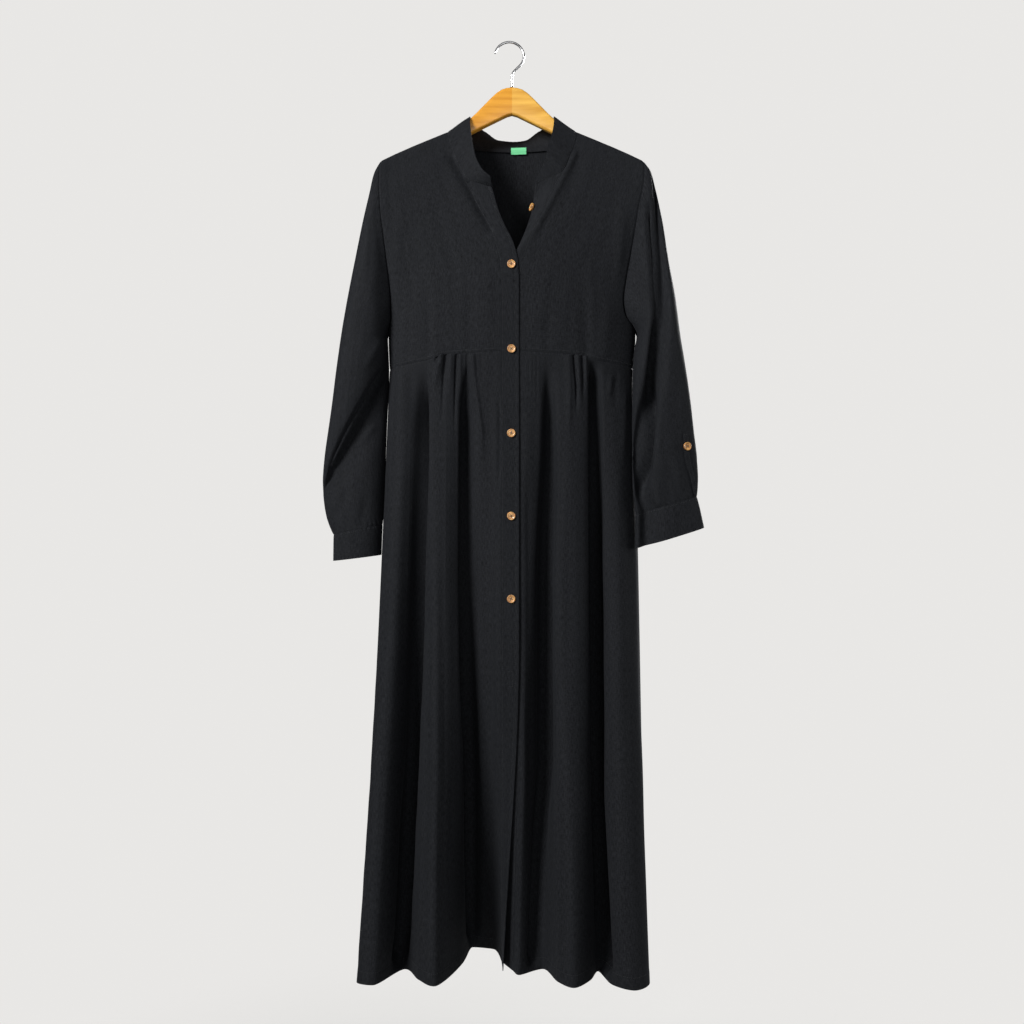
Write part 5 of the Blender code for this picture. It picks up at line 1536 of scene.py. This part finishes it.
def model_button():
    """A button facing +Z with a rim, a shallow dish and four holes."""
    bpy.ops.mesh.primitive_cylinder_add(vertices=48, radius=BUTTON_RADIUS, depth=BUTTON_THICK)
    button = bpy.context.object
    bpy.ops.object.mode_set(mode="EDIT")
    bpy.ops.mesh.select_mode(type="FACE")
    bpy.ops.mesh.select_all(action="DESELECT")
    mesh = bmesh.from_edit_mesh(button.data)
    top = max(mesh.faces, key=lambda face: face.calc_center_median().z)
    top.select_set(True)
    bmesh.update_edit_mesh(button.data)
    bpy.ops.mesh.inset(thickness=BUTTON_RIM)
    bpy.ops.mesh.inset(thickness=BUTTON_SLOPE)
    bpy.ops.transform.translate(value=(0, 0, -BUTTON_DISH))
    bpy.ops.object.mode_set(mode="OBJECT")
    rim = button.modifiers.new("rim", "BEVEL")
    rim.width = BUTTON_SOFT_EDGE
    rim.segments = 3
    rim.limit_method = "ANGLE"
    rim.angle_limit = math.radians(BUTTON_SOFT_ANGLE)
    bpy.ops.object.modifier_apply(modifier="rim")
    for x in (-BUTTON_HOLE_AT, BUTTON_HOLE_AT):
        for y in (-BUTTON_HOLE_AT, BUTTON_HOLE_AT):
            bpy.ops.mesh.primitive_cylinder_add(
                vertices=16, radius=BUTTON_HOLE_RADIUS, depth=BUTTON_DRILL, location=(x, y, 0)
            )
            drill = bpy.context.object
            choose(button)
            hole = button.modifiers.new("hole", "BOOLEAN")
            hole.object = drill
            bpy.ops.object.modifier_apply(modifier="hole")
            bpy.data.objects.remove(drill, do_unlink=True)
    choose(button)
    bpy.ops.object.shade_smooth_by_angle(angle=math.radians(SMOOTH_ANGLE))
    return button


def model_thread():
    """Two crossed strands through the four holes of a button."""
    strands = []
    for turn in (45, -45):
        bpy.ops.mesh.primitive_uv_sphere_add(segments=12, ring_count=8, radius=0.5)
        strand = bpy.context.object
        strand.scale = STRAND_SIZE
        strand.rotation_euler = (0, 0, math.radians(turn))
        strand.location = (0, 0, BUTTON_THICK / 2 - STRAND_SUNK)
        bpy.ops.object.transform_apply(location=True, rotation=True, scale=True)
        strands.append(strand)
    choose(strands[0])
    strands[1].select_set(True)
    bpy.ops.object.join()
    strands[0].data.shade_smooth()
    return strands[0]


def place_button(name, button, thread, place, facing, horn, cotton, turn=0.0):
    """A copy of the modelled button and its thread, lying on the cloth."""
    out = Vector(facing).normalized()
    tilt = out.to_track_quat("Z", "Y").to_matrix().to_4x4() @ Matrix.Rotation(turn, 4, "Z")
    spot = Matrix.Translation(Vector(place) + out * (SEAM_GAP + BUTTON_THICK / 2)) @ tilt
    disc = button.data.copy()
    disc.transform(spot)
    finish_piece(into_scene(name, disc), horn, name)
    strands = thread.data.copy()
    strands.transform(spot)
    finish_piece(into_scene(name + "_thread", strands), cotton)


def socket_group(name, inputs, outputs):
    """An empty node group with its sockets; inputs and outputs are name and type pairs."""
    group = bpy.data.node_groups.new(name, "ShaderNodeTree")
    for label, kind in inputs:
        group.interface.new_socket(label, in_out="INPUT", socket_type=kind)
    for label, kind in outputs:
        group.interface.new_socket(label, in_out="OUTPUT", socket_type=kind)
    return group, group.nodes.new("NodeGroupInput"), group.nodes.new("NodeGroupOutput")


def stretched_noise(nodes, links, places, stretch, detail):
    """Noise on places in metres that are stretched first."""
    place = nodes.new("ShaderNodeMapping")
    place.inputs["Scale"].default_value = stretch
    noise = nodes.new("ShaderNodeTexNoise")
    noise.inputs["Scale"].default_value = 1.0
    noise.inputs["Detail"].default_value = detail
    links.new(places, place.inputs["Vector"])
    links.new(place.outputs["Vector"], noise.inputs["Vector"])
    return noise.outputs["Fac"]


def mixed_value(nodes, links, first, second, share):
    """A blend of two values by a fixed share of the second."""
    mixed = nodes.new("ShaderNodeMix")
    mixed.data_type = "FLOAT"
    mixed.inputs["Factor"].default_value = share
    links.new(first, mixed.inputs["A"])
    links.new(second, mixed.inputs["B"])
    return mixed.outputs["Result"]


def spread_out(nodes, links, value, low, high):
    """Spreads the middle of a noise over the whole range from 0 to 1."""
    spread = nodes.new("ShaderNodeMapRange")
    spread.inputs["From Min"].default_value = low
    spread.inputs["From Max"].default_value = high
    links.new(value, spread.inputs["Value"])
    return spread.outputs["Result"]


def slub_weave():
    """Slubs and threads of a plain weave, from places on the cut in metres."""
    group, given, made = socket_group(
        "slub_weave",
        (("Cut", "NodeSocketVector"),),
        (("Slub", "NodeSocketFloat"), ("Height", "NodeSocketFloat")),
    )
    nodes, links = group.nodes, group.links
    parts = []
    for name, across, along, detail in WEAVE:
        stretch = (1 / across, 1 / along, 1.0)
        part = stretched_noise(nodes, links, given.outputs["Cut"], stretch, detail)
        part.node.label = name
        parts.append(part)
    threads = mixed_value(nodes, links, parts[0], parts[1], CROSS_SHARE)
    with_bands = mixed_value(nodes, links, threads, parts[2], BAND_SHARE)
    links.new(spread_out(nodes, links, with_bands, 0.36, 0.64), made.inputs["Slub"])
    links.new(threads, made.inputs["Height"])
    return group


def new_material(name):
    """A material with its nodes, its links and its shader."""
    material = bpy.data.materials.new(name)
    material.use_nodes = True
    tree = material.node_tree
    return material, tree.nodes, tree.links, tree.nodes["Principled BSDF"]


def two_colours(nodes, links, shader, share, first, second):
    """Colours the shader from one colour to another by a share."""
    colour = nodes.new("ShaderNodeMix")
    colour.data_type = "RGBA"
    colour.inputs["A"].default_value = (*first, 1)
    colour.inputs["B"].default_value = (*second, 1)
    links.new(share, colour.inputs["Factor"])
    links.new(colour.outputs["Result"], shader.inputs["Base Color"])


def fine_relief(nodes, links, shader, height, strength, depth):
    """Raises the shader's surface a little by a height."""
    bump = nodes.new("ShaderNodeBump")
    bump.inputs["Strength"].default_value = strength
    bump.inputs["Distance"].default_value = depth
    links.new(height, bump.inputs["Height"])
    links.new(bump.outputs["Normal"], shader.inputs["Normal"])


def black_cloth(weave):
    """The matt black cloth, on the map of each sheet's cut."""
    material, nodes, links, shader = new_material("black slub weave")
    cut = nodes.new("ShaderNodeUVMap")
    cut.uv_map = "cut"
    slubs = nodes.new("ShaderNodeGroup")
    slubs.node_tree = weave
    links.new(cut.outputs["UV"], slubs.inputs["Cut"])
    two_colours(nodes, links, shader, slubs.outputs["Slub"], CLOTH_DARK, CLOTH_LIGHT)
    fine_relief(nodes, links, shader, slubs.outputs["Height"], 0.5, 0.0004)
    shader.inputs["Roughness"].default_value = 0.78
    shader.inputs["Specular IOR Level"].default_value = 0.07
    shader.inputs["Sheen Weight"].default_value = 0.025
    shader.inputs["Sheen Roughness"].default_value = 0.45
    shader.inputs["Sheen Tint"].default_value = SHEEN_TINT
    return material


def plain_finish(name, detail=3.0, depth=0.0, **looks):
    """A finish whose colour drifts between two, with a few more of its shader's values."""
    dark, light, stretch, roughness = FINISHES[name]
    material, nodes, links, shader = new_material(name)
    place = nodes.new("ShaderNodeTexCoord")
    noise = stretched_noise(nodes, links, place.outputs["Object"], stretch, detail)
    spread = spread_out(nodes, links, noise, 0.32, 0.68)
    two_colours(nodes, links, shader, spread, dark, light)
    shader.inputs["Roughness"].default_value = roughness
    if depth:
        fine_relief(nodes, links, shader, noise, 1.0, depth)
    for look, value in looks.items():
        shader.inputs[look.replace("_", " ")].default_value = value
    return material


def floor_disc(material):
    """A pale round floor below the dress, fading out at its rim."""
    bpy.ops.mesh.primitive_circle_add(
        vertices=96, radius=FLOOR_RADIUS, fill_type="NGON", location=(CENTRE_X, 0, FLOOR_Z)
    )
    floor = bpy.context.object
    floor.name = "floor"
    bpy.ops.object.transform_apply(location=True)
    floor.data.materials.append(material)
    return floor


def floor_material():
    """Pale matt floor, clear at the rim so that no horizon shows."""
    material, nodes, links, shader = new_material("pale floor")
    place = nodes.new("ShaderNodeTexCoord")
    shift = nodes.new("ShaderNodeVectorMath")
    shift.operation = "SUBTRACT"
    shift.inputs[1].default_value = (CENTRE_X, 0, FLOOR_Z)
    length = nodes.new("ShaderNodeVectorMath")
    length.operation = "LENGTH"
    fade = nodes.new("ShaderNodeMapRange")
    fade.interpolation_type = "SMOOTHSTEP"
    fade.inputs["From Min"].default_value = FLOOR_CLEAR[0]
    fade.inputs["From Max"].default_value = FLOOR_CLEAR[1]
    fade.inputs["To Min"].default_value = 1.0
    fade.inputs["To Max"].default_value = 0.0
    links.new(place.outputs["Object"], shift.inputs[0])
    links.new(shift.outputs["Vector"], length.inputs[0])
    links.new(length.outputs["Value"], fade.inputs["Value"])
    two_colours(nodes, links, shader, fade.outputs["Result"], FLOOR_RIM, FLOOR_MIDDLE)
    links.new(fade.outputs["Result"], shader.inputs["Alpha"])
    shader.inputs["Roughness"].default_value = 0.9
    return material


def soft_light(name, place, aim_z, size, power, colour):
    """A square light that faces the dress."""
    light = bpy.data.lights.new(name, "AREA")
    light.size = size
    light.energy = power
    light.color = colour
    lamp = into_scene(name, light)
    lamp.location = place
    aim = Vector((0, 0, aim_z)) - Vector(place)
    lamp.rotation_euler = aim.to_track_quat("-Z", "Y").to_euler()


def pale_world():
    """A pale room that lights the cloth far less than its walls look bright."""
    world = bpy.data.worlds.new("pale room")
    world.use_nodes = True
    nodes, links = world.node_tree.nodes, world.node_tree.links
    shade = nodes["Background"]
    shade.inputs["Color"].default_value = (*ROOM_COLOUR, 1)
    seen = nodes.new("ShaderNodeLightPath")
    strength = nodes.new("ShaderNodeMapRange")
    strength.inputs["To Min"].default_value = ROOM_LIGHT
    strength.inputs["To Max"].default_value = 1.0
    links.new(seen.outputs["Is Camera Ray"], strength.inputs["Value"])
    links.new(strength.outputs["Result"], shade.inputs["Strength"])
    bpy.context.scene.world = world


def front_camera():
    """The camera of the photo, level and straight in front."""
    lens = bpy.data.cameras.new("camera")
    lens.lens = CAMERA_LENS
    lens.sensor_width = CAMERA_SENSOR
    camera = into_scene("camera", lens)
    camera.location = CAMERA_PLACE
    camera.rotation_euler = (math.radians(90), 0, 0)
    bpy.context.scene.camera = camera


cloth = black_cloth(slub_weave())
thread = plain_finish("black thread")
dark_cotton = plain_finish("dark button thread")
green_tape = plain_finish("green tape")
horn = plain_finish("mottled horn", **POLISHED_HORN)
# Lit and shaded copies of one varnished wood: painted shade on the right arm, painted light on the
# left arm.
wood_right_painted_shade = plain_finish("varnished wood, right arm, painted shade", **VARNISH)
wood_left_painted_light = plain_finish("varnished wood, left arm, painted light", **VARNISH)
steel = plain_finish("bright wire", Metallic=1.0)

sheets = {
    "front_bodice_right": dress_front("front_bodice_right", FRONT_RIGHT, -1, cloth),
    "front_bodice_left": dress_front("front_bodice_left", FRONT_LEFT, 1, cloth),
    "back_bodice": dress_back(cloth),
    "front_skirt_right": dress_skirt("front_skirt_right", SKIRT_RIGHT, -1, SKIRT_CREASES, cloth),
    "front_skirt_left": dress_skirt("front_skirt_left", SKIRT_LEFT, 1, SKIRT_CREASES, cloth),
    "back_skirt": dress_skirt("back_skirt", SKIRT_BACK, 1, BACK_SKIRT_CREASES, cloth, back=True),
    "placket_top": dress_placket(
        "placket_top", FRONT_RIGHT, FREE_EDGE_RIGHT, SKIRT_RIGHT, -1, LAP, cloth),
    "placket_under": dress_placket(
        "placket_under", FRONT_LEFT, FREE_EDGE_LEFT, SKIRT_LEFT, 1, 0.0, cloth),
    "collar": dress_collar(cloth),
    "neck_label": dress_label(green_tape),
}
for hand, rings, holes, side, run_on in (
    ("right", SLEEVE_RIGHT, FRONT_RIGHT, -1, CUFF_RIGHT),
    ("left", SLEEVE_LEFT, FRONT_LEFT, 1, CUFF_LEFT),
):
    sheets[f"sleeve_{hand}"] = dress_sleeve(f"sleeve_{hand}", rings, holes, side, cloth)
    sheets[f"cuff_{hand}"] = dress_cuff(f"cuff_{hand}", rings, holes, side, run_on, cloth)
    sheets[f"sleeve_tab_{hand}"] = dress_tab(f"sleeve_tab_{hand}", rings, holes, side, cloth)

button = model_button()
strands = model_thread()
top_band = sheets["placket_top"]
for number, height in enumerate(BUTTON_HEIGHTS, start=1):
    spot = nearest_on(top_band, (BUTTON_X + CENTRE_X, height))[0]
    turn = number * BUTTON_TURN
    place_button(f"button_{number}", button, strands, spot, (0, -1, 0), horn, dark_cotton, turn)
spot, out = nearest_on(sheets["placket_under"], (NECK_BUTTON[0] + CENTRE_X, NECK_BUTTON[1]))
place_button("button_neck", button, strands, spot, out, horn, dark_cotton)
for hand in ("right", "left"):
    tab = sheets[f"sleeve_tab_{hand}"]
    at = (TAB_BUTTON_ROW, tab.shape[1] // 2)
    spot, out = tab[at], sheet_normals(tab)[at]
    place_button(f"button_sleeve_{hand}", button, strands, spot, out, horn, dark_cotton)
bpy.data.objects.remove(button, do_unlink=True)
bpy.data.objects.remove(strands, do_unlink=True)

# The right arm wears the painted-shade copy of the wood, the left arm the painted-light copy.
hanger_arm(-1, wood_right_painted_shade)
hanger_arm(1, wood_left_painted_light)
wire_hook(steel)
hook_collar(steel)

for name, ending, seams in SEWN_LINES:
    lines = [line_inside(sheets[name], edge, inset) for edge, inset in seams]
    sew(f"{name}_{ending}", sheets[name], lines, thread)
for name, corners in (("slit_tack", SLIT_TACK), ("collar_buttonhole", NECK_HOLE)):
    ring = np.array([nearest_on(top_band, (x + CENTRE_X, z))[0] for x, z in corners])
    sew(name, top_band, [ring], thread, *SMALL_STITCH)

floor_disc(floor_material())
for light in LIGHTS:
    soft_light(*light)
pale_world()
front_camera()
bpy.context.scene.view_settings.view_transform = "Standard"
